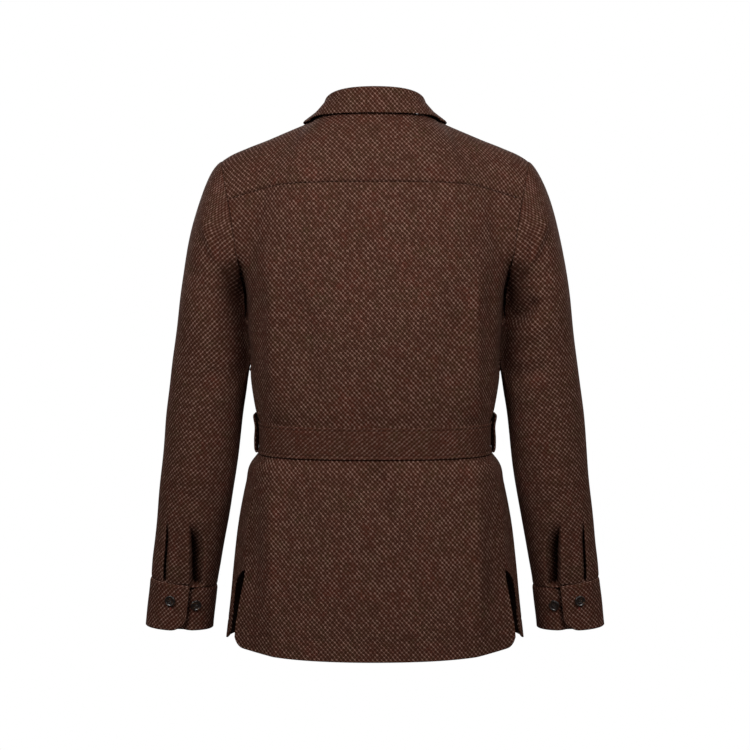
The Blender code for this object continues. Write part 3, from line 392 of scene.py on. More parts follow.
def torso(angle, height):
    """The body's level section: angle is from the middle of the back, in degrees, positive to the left."""
    a = np.radians(angle)
    s, c = np.sin(a), np.cos(a)
    n = TORSO.at("square", height)
    k = (np.abs(s) ** n + np.abs(c) ** n) ** (1 / n)
    depth = np.where(c > 0, TORSO.at("back", height), -TORSO.at("front", height))
    from_belt = height - BELT_MID
    rise = np.zeros(np.broadcast(angle, height).shape)
    for mid, level, half_angle, half_height, amount in BODY_FOLDS:
        off = ((np.abs(angle) - mid) / half_angle) ** 2 + ((height - level) / half_height) ** 2
        rise = rise + amount * np.exp(-off)
    rise = rise * ease(*FOLDS_OFF_BELT, np.abs(from_belt))
    pinch = ((np.abs(angle) - LOOP_ANGLE) / BELT_PINCH_REACH) ** 2 + (from_belt / BELT_PINCH_HEIGHT) ** 4
    rise = rise - BELT_PINCH * np.exp(-pinch)
    x = TORSO.at("half_width", height) * s / k + rise * s
    y = depth * c / k + rise * c
    return np.stack(np.broadcast_arrays(x, y, height), axis=-1)


def armhole(turn):
    """The seam of the left sleeve: 0 at the shoulder point, 90 at the back, 180 at the armpit."""
    a = np.radians(turn)
    s, c = np.sin(a), np.cos(a)
    hollow = np.where(s > 0, ARMHOLE_BACK_HOLLOW, ARMHOLE_FRONT_HOLLOW)
    x = ARMHOLE_X + ARMHOLE_X_SWING * c - hollow * s * s
    y = np.where(s > 0, ARMHOLE_BACK, ARMHOLE_FRONT) * s + RIDGE_Y * (1 + c) / 2
    return np.stack([x, y, ARMHOLE_MID + ARMHOLE_HALF_HEIGHT * c], axis=-1)


def top_edge(t, front):
    """The neck seam and then the shoulder seam, from the middle (0) to the shoulder point (1)."""
    a = np.clip(t / NECK_SHARE, -1, 1) * math.pi / 2
    out = np.clip((t - NECK_SHARE) / (1 - NECK_SHARE), 0, None)
    ridge_x = NECK_HALF_WIDTH + (ARMHOLE_X + ARMHOLE_X_SWING - NECK_HALF_WIDTH) * out
    on_neck = t < NECK_SHARE
    reach_y, reach_z = (PIT_Y, PIT_Z) if front else (NAPE_Y, NAPE_Z)
    x = np.where(on_neck, NECK_HALF_WIDTH * np.sin(a), ridge_x)
    y = np.where(on_neck, RIDGE_Y + (reach_y - RIDGE_Y) * np.cos(a), RIDGE_Y)
    z = np.where(on_neck, reach_z * np.cos(a) ** NECK_CURVE, SHOULDER.at("height", ridge_x))
    return np.stack([x, y, z], axis=-1)


def chest(t):
    """The height where the upper body starts, which rises to the armpit at the side."""
    return CHEST + (ARMPIT - CHEST) * np.clip(t, 0, 1) ** CHEST_CURVE


def upper(t, q, front):
    """The body above the chest, on the left: t from the middle to the side, q from the chest to the top."""
    t, q = np.broadcast_arrays(np.asarray(t, float), np.asarray(q, float))
    way, lift = (1.0, FRONT_LIFT) if front else (-1.0, BACK_LIFT)
    neck_y, neck_z = FRONT_OVER_NECK if front else BACK_OVER_NECK
    shoulder_y, shoulder_z = OVER_SHOULDER

    def risen(angle, height, end, arrive):
        start = torso(angle, height)
        lean = (start - torso(angle, height - LEAN_STEP)) / LEAN_STEP
        return hermite(start, end, lean * lift, arrive, q[..., None])

    wide = NECK_SPREAD * (1 - q) * (1 - ease(*SPREAD_FADE, np.abs(t)))
    end = sum(share * top_edge(t + k * wide, front) for k, share in SPREAD_SHARES)
    at_neck = 1 - ease(0.0, NECK_SHARE, np.abs(t))
    over_y = shoulder_y * (1 - at_neck) + neck_y * at_neck
    over_z = shoulder_z * (1 - at_neck) + neck_z * at_neck
    aside = NECK_ASIDE * ease(0.0, NECK_SHARE, t) * (1 - ease(NECK_SHARE, NECK_ASIDE_END, t))
    arrive = np.stack([-aside, way * over_y, over_z + NECK_CLIMB * aside], axis=-1)
    inner = risen(180 - 90 * t if front else 90 * t, chest(t), end, arrive)
    flat = np.ones(t.shape)
    side_arrive = np.stack([0 * flat, way * shoulder_y * flat, shoulder_z * flat], axis=-1)
    side_inner = risen(90 * flat, ARMPIT * flat, top_edge(flat, front), side_arrive)
    turn = 180 * (1 - q)
    side = armhole(360 - turn if front else turn)
    return inner + (np.clip(t, 0, None) ** TO_ARMHOLE_CURVE)[..., None] * (side - side_inner)


def mirrored(points, side):
    """Points made on the left, taken to the right wherever side is -1."""
    return points * np.stack(np.broadcast_arrays(side, 1.0, 1.0), axis=-1)


def side_of(u):
    return np.where(u < 0, -1.0, 1.0)


def moved_by(across, back):
    """Moves across and to the back, with none in height."""
    return np.stack(np.broadcast_arrays(across, back, 0.0), axis=-1)


def corner(near):
    """The rise of a round corner, from 0 where it starts to almost 1 at the end of the edge."""
    return 1 - np.sqrt(1 - CORNER_TURN * near * near)


def hem_height(share):
    """The hem rises a little to the side and has a round corner at the vent."""
    near = np.clip((np.abs(share) - HEM_CORNER_FROM) / (1 - HEM_CORNER_FROM), 0, 1)
    return HEM + HEM_RISE_AT_SIDE * share * share + HEM_CORNER * corner(near)


def vent(height):
    """The angle by which a vent stands open."""
    return VENT_OPENING * (1 - np.exp(-np.clip(VENT_TOP - height, 0, None) / VENT_OPENS_IN))


def find_yoke_seam():
    """How far up the upper body the yoke seam lies, found from its height at places across."""
    t = np.linspace(0.0, 1.0, 241)
    height = YOKE_MID + (YOKE_EDGE - YOKE_MID) * t ** YOKE_CURVE
    low, high = np.zeros(t.shape), np.ones(t.shape)
    for _ in range(30):
        middle = (low + high) / 2
        under = upper(t, middle, False)[..., 2] < height
        low, high = np.where(under, middle, low), np.where(under, high, middle)
    return t, (low + high) / 2


YOKE_SEAM = find_yoke_seam()


def yoke_seam(t):
    return np.interp(t, *YOKE_SEAM)


def body_height(share, v):
    """The height of a row below the chest: level at the belt, the hem's line below and the chest's above."""
    level = HEM + (CHEST - HEM) * np.minimum(v, 1)
    by_hem = (hem_height(share) - HEM) * (1 - ease(*HEM_FADE, v))
    return level + by_hem + (chest(share) - CHEST) * ease(*CHEST_FADE, v)


def back_place(u, v):
    """The back: u across from -1 to 1, v from the hem (0) to the chest (1) to the yoke seam (2)."""
    share = np.abs(u)
    at_side = body_height(np.ones(np.shape(u)), v)
    low = torso(share * (SIDE_SEAM.at("angle", at_side) - SEAM_ANGLE), body_height(share, v))
    q = np.clip(v - 1, 0, None) * (yoke_seam(share) - SEAM_UP)
    high = upper(share * (1 - SEAM_ACROSS), q, False)
    return mirrored(np.where((v <= 1)[..., None], low, high), side_of(u))


def yoke_place(u, v):
    """The yoke: u across from -1 to 1, v from its seam on the back (0) to the neck and shoulders (1)."""
    share = np.abs(u)
    low = yoke_seam(share) + SEAM_UP
    points = upper(share * (1 - SEAM_ACROSS), low + (1 - SEAM_UP - low) * v, False)
    return mirrored(points, side_of(u))


def front_share(u, v):
    """How far across its half of the body a point of a front lies, below zero on the lap."""
    lap = FRONT_LAP_LOW + (FRONT_LAP_HIGH - FRONT_LAP_LOW) * np.clip(v - 1, 0, 1)
    return -lap + (1 + lap) * u


def front_place(u, v):
    """The left front: u from its lap (0) to its side (1), v from hem (0) by chest (1) to top (2)."""
    t = front_share(u, v)
    at_side = body_height(np.ones(np.shape(u)), v)
    height = body_height(np.clip(t, 0, 1), v)
    height = height + FRONT_HEM_RISE * ease(*FRONT_RISE_ACROSS, t) * (1 - ease(*HEM_FADE, v))
    edge = 180 - SIDE_SEAM.at("angle", at_side) - SEAM_ANGLE - vent(at_side)
    low = torso(180 - t * np.where(t > 0, edge, 90.0), height)
    high = upper(t * (1 - SEAM_ACROSS), np.clip(v - 1, 0, None) * (1 - SEAM_UP), True)
    return np.where((v <= 1)[..., None], low, high)


def lap_rise(t):
    """How far the upper front stands out to lie on the under one."""
    return (CLOTH + LAP_GAP) * (1 - ease(*LAP_FADE, t))


def underlap_place(u, v):
    """The turned-in edge of the left front behind a vent: u from the front to the back, v from the hem up."""
    low, high = HEM + UNDERLAP_UP, VENT_TOP + UNDERLAP_PAST_VENT
    height = low + (high - low) * v
    reach = vent(height) + UNDERLAP_FRONT_ANGLE
    return torso(SIDE_SEAM.at("angle", height) + reach - (reach + UNDERLAP_ANGLE) * u, height)


def tube(angle, height):
    """The left sleeve's level section: 0 is outward, 90 to the back, 180 to the body."""
    a = np.radians(angle)
    x = SLEEVE.at("mid_x", height) + SLEEVE.at("half_width", height) * np.cos(a)
    y = SLEEVE.at("mid_y", height) + SLEEVE.at("half_depth", height) * np.sin(a)
    return np.stack(np.broadcast_arrays(x, y, height), axis=-1)


def round_by(angle, mid):
    """The angle from mid, from -180 to 180."""
    return (angle - mid + 180) % 360 - 180


def sleeve_place(u, v):
    """The left sleeve: u once round from its seam, v from armhole (0) by a level ring (1) to cuff (2)."""
    angle = SLEEVE_SEAM_ANGLE - 360 * u
    turn = angle % 360
    a = np.radians(angle)
    join = SLEEVE_JOIN + SLEEVE_JOIN_TILT * np.cos(a)
    f = np.minimum(v, 1)[..., None]
    leave = np.stack([SLEEVE_HEAD.at("leave_" + k, turn) for k in "xyz"], axis=-1)
    down = (tube(angle, join - SLEEVE_STEP) - tube(angle, join)) / SLEEVE_STEP
    arrive = down * SLEEVE_HEAD.at("arrive", turn)[..., None]
    head = hermite(armhole(turn), tube(angle, join), leave, arrive, f)
    g = np.clip(v - 1, 0, None)
    low = join + (CUFF_TOP + SEAM / 2 + CUFF_TILT * np.cos(a) - join) * g
    points = np.where((v <= 1)[..., None], head, tube(angle, low))
    return points + moved_by(HEAD_OFF_SEAM * (1 - ease(*HEAD_OFF_FADE, v)), 0.0)


def cuff_gathers(u, height):
    """How far the slit's lapped edge, the pleat and the gathers above the cuff stand out from the sleeve."""
    angle = SLEEVE_SEAM_ANGLE - 360 * u
    above = height - CUFF_TOP
    slit = round_by(angle, SLIT_ANGLE - SLIT_LEAN * above)
    flap = SLIT_STEP_OUT * ease(*SLIT_FLAP_ANGLES, slit)
    slope = np.clip(1 - slit / SLIT_SLOPE_ANGLE, 0, 1) ** SLIT_SLOPE_CURVE
    under = -SLIT_STEP_IN * slope * ease(*SLIT_DEEPENS, height)
    step = flap + (under - flap) * np.clip(slit / SLIT_STEP_ANGLE, 0, 1)
    pleat = round_by(angle, PLEAT_ANGLE - PLEAT_LEAN * above)
    groove = np.exp(-(pleat / np.where(pleat > 0, PLEAT_REACH_AFTER, PLEAT_REACH_BEFORE)) ** 2)
    gather = np.exp(-(round_by(angle, GATHER_ANGLE) / GATHER_REACH) ** 2)
    rise = step * ease(*SLIT_FADE, height) - PLEAT_DEPTH * groove * ease(*PLEAT_FADE, height)
    return rise - GATHER_DEPTH * gather * ease(*GATHER_FADE, height)


def cuff_place(u, v):
    """The left cuff: u from its upper end round to its under end, v from the bottom (0) to its seam (1)."""
    turned = u * (360 + CUFF_UNDERLAP)
    angle = CUFF_END_ANGLE - turned
    a = np.radians(angle)
    arc = np.radians(np.minimum(turned, 360 + CUFF_UNDERLAP - turned)) * CUFF_RADIUS
    near = np.clip(1 - arc / CUFF_CORNER, 0, 1)
    bottom = CUFF_BOTTOM + CUFF_CORNER * corner(near) + CUFF_BOTTOM_TILT * np.cos(a)
    top = CUFF_TOP - SEAM / 2 + CUFF_TILT * np.cos(a)
    end = np.clip((turned - CUFF_END_FROM) / (360 - CUFF_END_FROM), 0, 1)
    lapped = (CUFF_WALL + LAP_GAP) * ease(CUFF_LAP_FROM, 360, turned)
    off = CUFF_STANDS_OUT - lapped - CUFF_END_SUNK * end ** CUFF_END_CURVE
    return tube(angle, bottom + (top - bottom) * v) + moved_by(np.cos(a) * off, np.sin(a) * off)


def neck_seam(share):
    """The neck seam on the left from the middle of the back (0) to the front (1), and its outward way."""
    behind = 90 * share / COLLAR_BACK_SHARE
    before = 90 - (90 - COLLAR_END) * (share - COLLAR_BACK_SHARE) / (1 - COLLAR_BACK_SHARE)
    at_back = share < COLLAR_BACK_SHARE
    angle = np.where(at_back, behind, before)
    t = angle / 90 * NECK_SHARE * (1 - 1e-9)
    seam = np.where(at_back[..., None], top_edge(t, False), top_edge(t, True))
    a = np.radians(angle)
    way = moved_by(np.sin(a), np.where(at_back, 1.0, -1.0) * np.cos(a))
    return seam, way, np.where(at_back, 1.0, t)


def over_body(t, q):
    """The body from the chest at the back (0) over the shoulder (1) to the chest at the front (2)."""
    at_back, at_front = upper(t, np.clip(q, 0, 1), False), upper(t, np.clip(2 - q, 0, 1), True)
    return np.where((q <= 1)[..., None], at_back, at_front)


def normals(place, u, v, e=5e-4):
    """Unit normals of a surface on its outer side, from near points on it."""
    n = np.cross(place(u, v + e) - place(u, v - e), place(u + e, v) - place(u - e, v))
    return n / np.linalg.norm(n, axis=-1, keepdims=True)


def collar_place(u, v):
    """The collar: u from its right end (-1) to its left (1), v up the stand, over the fold and down."""
    share = np.abs(u)
    seam, way, front_t = neck_seam(share)
    up = np.array([0.0, 0.0, 1.0])
    stand, lean, t, q, off = (COLLAR.at(k, share) for k in ("stand", "lean", "edge_t", "edge_q", "edge_off"))
    reach = stand - FOLD_RADIUS
    under_lap = (CLOTH + LAP_GAP) * (1 - ease(*UNDER_LAP_FADE, front_t))
    over_lap = np.where(u > 0, lap_rise(front_t), under_lap)
    base = seam + up * (SEAM + COLLAR_ON_LAP * over_lap)[..., None] - way * (COLLAR_WALL + SEAM)
    fold_from, fold_to = COLLAR_FOLD
    climb = np.clip(v / fold_from, 0, 1)
    turn = np.clip((v - fold_from) / (fold_to - fold_from), 0, 1) * math.pi
    drop = np.clip((v - fold_to) / (1 - fold_to), 0, 1)[..., None]
    r = lean * climb + FOLD_RADIUS * (1 - np.cos(turn))
    h = reach * climb + FOLD_RADIUS * np.sin(turn)
    rolled = base + way * r[..., None] + up * h[..., None]
    edge = over_body(t, q) + normals(over_body, t, q) * off[..., None]
    fold = base + way * (lean + 2 * FOLD_RADIUS)[..., None] + up * reach[..., None]
    fall = hermite(fold, edge, way * FALL_OUT - up * FALL_DOWN, edge - fold, drop)
    return mirrored(np.where((v <= fold_to)[..., None], rolled, fall), side_of(u))


def girth(angle, height, off):
    """The body's level section moved out, for what goes round the waist."""
    e = 0.5
    along = torso(angle + e, height) - torso(angle - e, height)
    way = moved_by(-along[..., 1], along[..., 0])
    way = way / np.linalg.norm(way, axis=-1, keepdims=True)
    return torso(angle, height) + way * np.asarray(off)[..., None]


def over_fronts(angle):
    """How far the lapped fronts stand out under the belt."""
    return (CLOTH + LAP_GAP) * (1 - ease(*BELT_OVER_LAP, np.abs(round_by(angle, 180.0))))


def belt_place(u, v):
    """The belt: u from its under end at the front round the back to its upper end, v up its width."""
    under = BELT_UNDER_ANGLE - 360.0
    angle = under + (BELT_END_ANGLE - under) * u
    height = BELT_MID + BELT_WIDTH * (v - 0.5) + 0 * u
    lapped = (BELT_WALL + LAP_GAP) * ease(*BELT_LAP_ANGLES, angle)
    return girth(angle, height, BELT_LIES_OFF + BELT_WALL + over_fronts(angle) + lapped)


def loop_place(u, v):
    """The left belt loop: u across it, v from its lower end (0) up over the belt to its upper end (1)."""
    height = BELT_MID + LOOP_UP + LOOP_HEIGHT * (v - 0.5)
    half = math.degrees(LOOP_WIDTH / 2 / LOOP_FROM_AXIS)
    angle = LOOP_ANGLE + half * (2 * u - 1)
    lying = LOOP_WALL + SEAM
    ends = np.abs(2 * v - 1)
    past_belt = np.clip(np.abs(height - BELT_MID) / LOOP_OVER_BELT, 0, 1)
    stands = LOOP_STANDS_OUT - LOOP_SLOPE * (v - LOOP_SLOPE_FROM) - lying
    near = stands * np.sqrt(np.maximum(1 - ends ** LOOP_NEAR_CURVE, 0))
    far = (LOOP_FAR_OUT - lying) * np.sqrt(1 - past_belt ** LOOP_FAR_CURVE)
    return girth(angle, height, lying + near + (far - near) * u)


def spaced(count, *crowded):
    """Shares from 0 to 1, closer together near each crowded (place, reach, times)."""
    at = np.linspace(0.0, 1.0, SPACING_STEPS)
    density = np.ones(at.shape)
    for place, reach, times in crowded:
        density += times * np.exp(-((at - place) / reach) ** 2)
    grown = np.concatenate(([0.0], np.cumsum((density[1:] + density[:-1]) / 2)))
    return np.interp(np.linspace(0.0, 1.0, count + 1), grown / grown[-1], at)


def both_ends(reach, times):
    """The same crowding at both ends."""
    return (0.0, reach, times), (1.0, reach, times)


def metres_along(points, axis):
    """Metres of cloth from the first row or column of a grid."""
    step = np.linalg.norm(np.diff(points, axis=axis), axis=-1)
    return np.concatenate([np.zeros_like(step.take([0], axis=axis)), np.cumsum(step, axis=axis)], axis=axis)


def faces_out(points, out, closed):
    """Unit normals of a grid on its outer side."""
    if closed:
        across = np.roll(points, -1, axis=1) - np.roll(points, 1, axis=1)
    else:
        across = np.gradient(points, axis=1)
    n = np.cross(across, np.gradient(points, axis=0))
    return out * n / np.maximum(np.linalg.norm(n, axis=-1, keepdims=True), 1e-12)


def wander(points, size, amount):
    """A low, smooth unevenness of the cloth, the same at each run."""
    total = np.zeros(points.shape[:2])
    for k, (x, y, z, start) in enumerate(WAVES):
        length = size * (1 + WAVE_GROWTH * k)
        total += np.sin(points @ np.array([x, y, z]) * 2 * math.pi / length + start)
    return amount * total / len(WAVES)


def creased(points, out, rows):
    """How far the creases of a piece move each of its points out."""
    rise = np.zeros(points.shape[:2])
    flat = points[..., [0, 2]]
    f = np.linspace(0.0, 1.0, CREASE_STEPS)
    for face, x0, z0, x1, z1, bow, left, right, amount in rows:
        start, end = np.array([x0, z0]), np.array([x1, z1])
        aside = np.array([z0 - z1, x1 - x0]) / np.linalg.norm(end - start)
        line = start + (end - start) * f[:, None] + aside * (bow * 4 * f * (1 - f))[:, None]
        away = flat[:, :, None, :] - line
        near = np.argmin((away ** 2).sum(-1), axis=-1)
        off = np.take_along_axis(away, near[..., None, None], axis=2)[..., 0, :]
        reach = np.where(off @ aside > 0, left, right)
        fade = ease(*CREASE_STARTS, f[near]) * (1 - ease(*CREASE_ENDS, f[near]))
        seen = ease(*CREASE_TURNS_AWAY, face * out[..., 1])
        rise = rise + amount * fade * seen * np.exp(-(off ** 2).sum(-1) / reach ** 2)
    return rise


def pressed(points):
    """How strongly a sleeve and the body press on each other at each point."""
    off_y, off_z = (points[..., 1] - PRESS_Y) / PRESS_REACH_Y, (points[..., 2] - PRESS_Z) / PRESS_REACH_Z
    return np.minimum(PRESS_PEAK * np.exp(-off_y ** 2 - off_z ** 4), 1)


def beside_body(points):
    """How far a sleeve's points lie out from the side of the body where the two press on each other."""
    y, height = points[..., 1], np.minimum(points[..., 2], ARMPIT)
    n = TORSO.at("square", height)
    deep = np.where(y > 0, TORSO.at("back", height), -TORSO.at("front", height))
    side = TORSO.at("half_width", height) * (1 - np.clip(np.abs(y) / deep, 0, 0.99) ** n) ** (1 / n)
    gap = np.abs(points[..., 0]) - side + PRESS_GIVE * pressed(points) - PRESS_GAP
    return np.maximum(gap, 0) * (points[..., 2] < PRESS_BELOW)


def armpit_hollow(points, reach):
    """How far cloth on both sides of the lower armhole seam falls in at the back."""
    x, y, height = np.abs(points[..., 0]), points[..., 1], points[..., 2]
    seam = np.linspace(HOLLOW_FROM, 180.0, HOLLOW_SEAM_STEPS)
    low = np.linspace(0.0, 1.0, HOLLOW_LOW_STEPS)[1:]
    line = armhole(seam)[:, [0, 2]]
    beyond = np.array([HOLLOW_END_X, HOLLOW_END_Z]) - line[-1]
    line = np.concatenate([line, line[-1] + beyond * low[:, None]])
    on_seam = ease(HOLLOW_FROM, HOLLOW_FULL, seam)
    strength = np.concatenate([on_seam, 1 - ease(*HOLLOW_FADE, low)])
    shift = np.concatenate([on_seam * (1 - ease(*HOLLOW_ASIDE_FADE, seam)), 0 * low])
    away = (x[..., None] - line[:, 0]) ** 2 + (height[..., None] - line[:, 1]) ** 2
    near = np.argmin(away, axis=-1)
    share = np.exp(-(away.min(axis=-1) / reach ** 2) ** HOLLOW_CURVE)
    depth = HOLLOW_SHARE * strength[near] * np.maximum(y, 0)
    aside = -np.sign(points[..., 0]) * HOLLOW_ASIDE * shift[near] * (y > 0)
    return moved_by(aside * share, -depth * share)


def side_fall(points):
    """How far the body falls away beside the flat middle of its back."""
    x, y, height = np.abs(points[..., 0]), points[..., 1], points[..., 2]
    where = ease(*FALL_BEHIND, y) * ease(*FALL_BELOW, height)
    where = where * ease(*FALL_OFF_BELT, np.abs(height - BELT_MID))
    return moved_by(0.0, -FALL_SLOPE * where * np.maximum(x - FALL_FROM, 0))


def seam_dip(distance, depth=SEAM_DIP):
    """How far cloth draws in beside a seam."""
    return -depth * np.exp(-(distance / SEAM_REACH) ** SEAM_CURVE)


def rim_loops(count_up, count_across, closed):
    """The edges of a grid as closed loops of (row, column), each with the grid on its left."""
    last_row, last = count_up - 1, count_across - 1
    if closed:
        low = [(0, j) for j in range(count_across)]
        return [low, [(last_row, j) for j in range(last, -1, -1)]]
    loop = [(0, j) for j in range(last)] + [(i, last) for i in range(last_row)]
    return [loop + [(last_row, j) for j in range(last, 0, -1)] + [(i, 0) for i in range(last_row, 0, -1)]]


def laid_out(points, way, from_last, grain):
    """The metres of cloth at each point of a grid: across from its middle, up from its first or last row."""
    across, up = metres_along(points, 1), metres_along(points, 0)
    across = way[0] * (across - across[:, [points.shape[1] // 2]])
    up = way[1] * (up - up[-1:] if from_last else up)
    layouts = {"straight": (across, up), "mirrored": (-across, up), "turned": (up, -across)}
    return np.stack(layouts[grain], axis=-1)


def body_layout(points, out, guide):
    """The metres of cloth on a body piece: level round it, and up by the profile at its guide column."""
    flat = metres_along(points * np.array([1.0, 1.0, 0.0]), 1)
    profile, height = metres_along(points, 0)[:, guide], points[:, guide, 2]
    level = np.linspace(height[0] - LAYOUT_BELOW, height[-1] + LAYOUT_ABOVE, LAYOUT_STEPS)
    below, above = np.minimum(level - height[0], 0), np.maximum(level - height[-1], 0)
    up = np.interp(level, height, profile) + below + LAYOUT_SLOPE * above
    return np.stack([out * (flat - flat[:, [guide]]), np.interp(points[..., 2], level, up)], axis=-1)


def sleeve_layout(points, side, grain):
    """The metres of cloth on a sleeve: round it from its grain line, and along it by the way of its arm."""
    wrapped = mirrored(np.concatenate([points, points[:, :1]], axis=1), side)
    height = wrapped[..., 2]
    wide, deep = SLEEVE.at("half_width", height), SLEEVE.at("half_depth", height)
    axis = SLEEVE.at("mid_x", height) - HEAD_ASIDE * ease(*HEAD_ASIDE_FADE, height)
    over, back = wrapped[..., 0] - axis, wrapped[..., 1] - SLEEVE.at("mid_y", height)
    turn = np.unwrap(np.arctan2(back / deep, over / wide) % (2 * math.pi), axis=1)
    start = math.radians(SLEEVE_GRAIN_ANGLE)
    steps = start + (turn - start)[..., None] * (np.arange(ARC_STEPS) + 0.5) / ARC_STEPS
    speed = np.hypot(wide[..., None] * np.sin(steps), deep[..., None] * np.cos(steps)).mean(-1)
    hand = -side if grain == "mirrored" else side
    return np.stack([hand * (turn - start) * speed, wrapped @ SLEEVE_WAY], axis=-1)


def grid_quads(count_up, count_across, closed):
    """The numbers of a grid's points, and its four-cornered faces."""
    number = np.arange(count_up * count_across).reshape(count_up, count_across)
    columns = np.arange(count_across if closed else count_across - 1)
    first, second = number[:, columns], number[:, (columns + 1) % count_across]
    return number, np.stack([first[:-1], second[:-1], second[1:], first[1:]], axis=-1).reshape(-1, 4)


def shell(points, wall, out, rows_rise, closed=False, from_last=False, grain="straight", uv=None,
          rim=PLAIN_RIM):
    """A cloth wall as points, faces and their corners' UVs: its face, its reverse and a round rim."""
    count_up, count_across = points.shape[:2]
    inner = points - faces_out(points, out, closed) * np.broadcast_to(wall, points.shape[:2])[..., None]
    if uv is None:
        turn = 1.0 if rows_rise else -1.0
        uv = laid_out(points, (out * turn, turn), from_last, grain)
    number, quads = grid_quads(count_up, count_across, closed)
    corners = np.stack([uv[:-1, :-1], uv[:-1, 1:], uv[1:, 1:], uv[1:, :-1]], axis=2).reshape(-1, 4, 2)
    below = number.size
    faces, uvs = [quads, quads[:, ::-1] + below], [corners, corners[:, ::-1]]
    verts = [points.reshape(-1, 3), inner.reshape(-1, 3)]
    added = 2 * below
    for loop in rim_loops(count_up, count_across, closed):
        i, j = np.array(loop).T
        near_i, near_j = np.clip(i, 1, count_up - 2), j if closed else np.clip(j, 1, count_across - 2)
        beyond = points[i, j] - points[near_i, near_j]
        far = np.maximum(np.linalg.norm(beyond, axis=-1, keepdims=True), 1e-12)
        thick = np.linalg.norm(points[i, j] - inner[i, j], axis=-1, keepdims=True)
        edge, turned = uv[i, j], (uv[i, j] - uv[near_i, near_j]) / far * thick / 2
        verts.append((points[i, j] + inner[i, j]) / 2 + beyond / far * thick * rim)
        rings = number[i, j], added + np.arange(len(loop)), number[i, j] + below
        added += len(loop)
        for k in range(2):
            first, second = rings[k], rings[k + 1]
            faces.append(np.stack([np.roll(first, -1), first, second, np.roll(second, -1)], axis=-1))
            near, past = edge + k * turned, edge + (k + 1) * turned
            uvs.append(np.stack([np.roll(near, -1, axis=0), near, past, np.roll(past, -1, axis=0)], axis=1))
    return np.concatenate(verts), np.concatenate(faces), np.concatenate(uvs)


def join_shells(shells):
    """Several shells as one."""
    verts, faces, uvs = zip(*shells)
    starts = np.cumsum([0] + [len(v) for v in verts[:-1]])
    return np.concatenate(verts), np.concatenate([f + k for f, k in zip(faces, starts)]), np.concatenate(uvs)


def signed_volume(verts, faces):
    a, b, c, d = (verts[faces[:, k]] for k in range(4))
    return (np.einsum("ij,ij->i", a, np.cross(b, c)) + np.einsum("ij,ij->i", a, np.cross(c, d))).sum() / 6


def placed(name, data):
    """A new object in the scene."""
    made = bpy.data.objects.new(name, data)
    bpy.context.scene.collection.objects.link(made)
    return made


def new_piece(name, verts, faces, uvs, material, map_name="cloth"):
    """An object with its place in its mesh, smooth, with its faces outward."""
    if signed_volume(verts, faces) < 0:
        faces, uvs = faces[:, ::-1], uvs[:, ::-1]
    mesh = bpy.data.meshes.new(name)
    mesh.from_pydata(verts.tolist(), [], faces.tolist())
    mesh.uv_layers.new(name=map_name).data.foreach_set("uv", uvs.ravel())
    mesh.polygons.foreach_set("use_smooth", [True] * len(faces))
    mesh.materials.append(material)
    mesh.validate()
    return placed(name, mesh)


class Nodes:
    """Short ways to add nodes to a tree and to join them."""

    def __init__(self, tree):
        self.tree = tree

    def add(self, kind, inputs=(), **settings):
        node = self.tree.nodes.new(kind)
        for name, value in settings.items():
            setattr(node, name, value)
        for key, value in dict(inputs).items():
            self.feed(node.inputs[key], value)
        return node

    def one(self, kind, inputs=(), **settings):
        return self.add(kind, inputs, **settings).outputs[0]

    def feed(self, socket, value):
        if isinstance(value, bpy.types.NodeSocket):
            self.tree.links.new(value, socket)
        else:
            socket.default_value = value

    def math(self, operation, *values):
        return self.one("ShaderNodeMath", dict(enumerate(values)), operation=operation)

    def times(self, a, b):
        return self.math("MULTIPLY", a, b)

    def scaled(self, value, scale, plus):
        return self.math("MULTIPLY_ADD", value, scale, plus)

    def ranged(self, value, low, high, to_low=0.0, to_high=1.0):
        return self.one("ShaderNodeMapRange", {0: value, 1: low, 2: high, 3: to_low, 4: to_high})

    def vector(self, operation, *values):
        return self.one("ShaderNodeVectorMath", dict(enumerate(values)), operation=operation)

    def parts(self, vector):
        return self.add("ShaderNodeSeparateXYZ", {0: vector}).outputs

    def mix(self, factor, a, b, blend="MIX"):
        node = self.add("ShaderNodeMix", data_type="RGBA", blend_type=blend)
        self.feed(node.inputs["Factor"], factor)
        self.feed(node.inputs[6], a)
        self.feed(node.inputs[7], b)
        return node.outputs[2]

    def noise(self, vector, scale, detail=2.0, roughness=0.5):
        sockets = {"Vector": vector, "Scale": scale, "Detail": detail, "Roughness": roughness}
        return self.add("ShaderNodeTexNoise", sockets).outputs


def new_tree(name, kind, inputs, outputs):
    """A node tree with named sockets, each input a kind and a first value, and each output a kind."""
    tree = bpy.data.node_groups.new(name, kind)
    for label, (socket_kind, value) in inputs.items():
        socket = tree.interface.new_socket(label, in_out="INPUT", socket_type="NodeSocket" + socket_kind)
        if value is not None:
            socket.default_value = value
    for label, socket_kind in outputs.items():
        tree.interface.new_socket(label, in_out="OUTPUT", socket_type="NodeSocket" + socket_kind)
    return tree, Nodes(tree)


def light_yarn(light):
    return light, LIGHT_YARN_GREEN * light, LIGHT_YARN_BLUE * light, 1


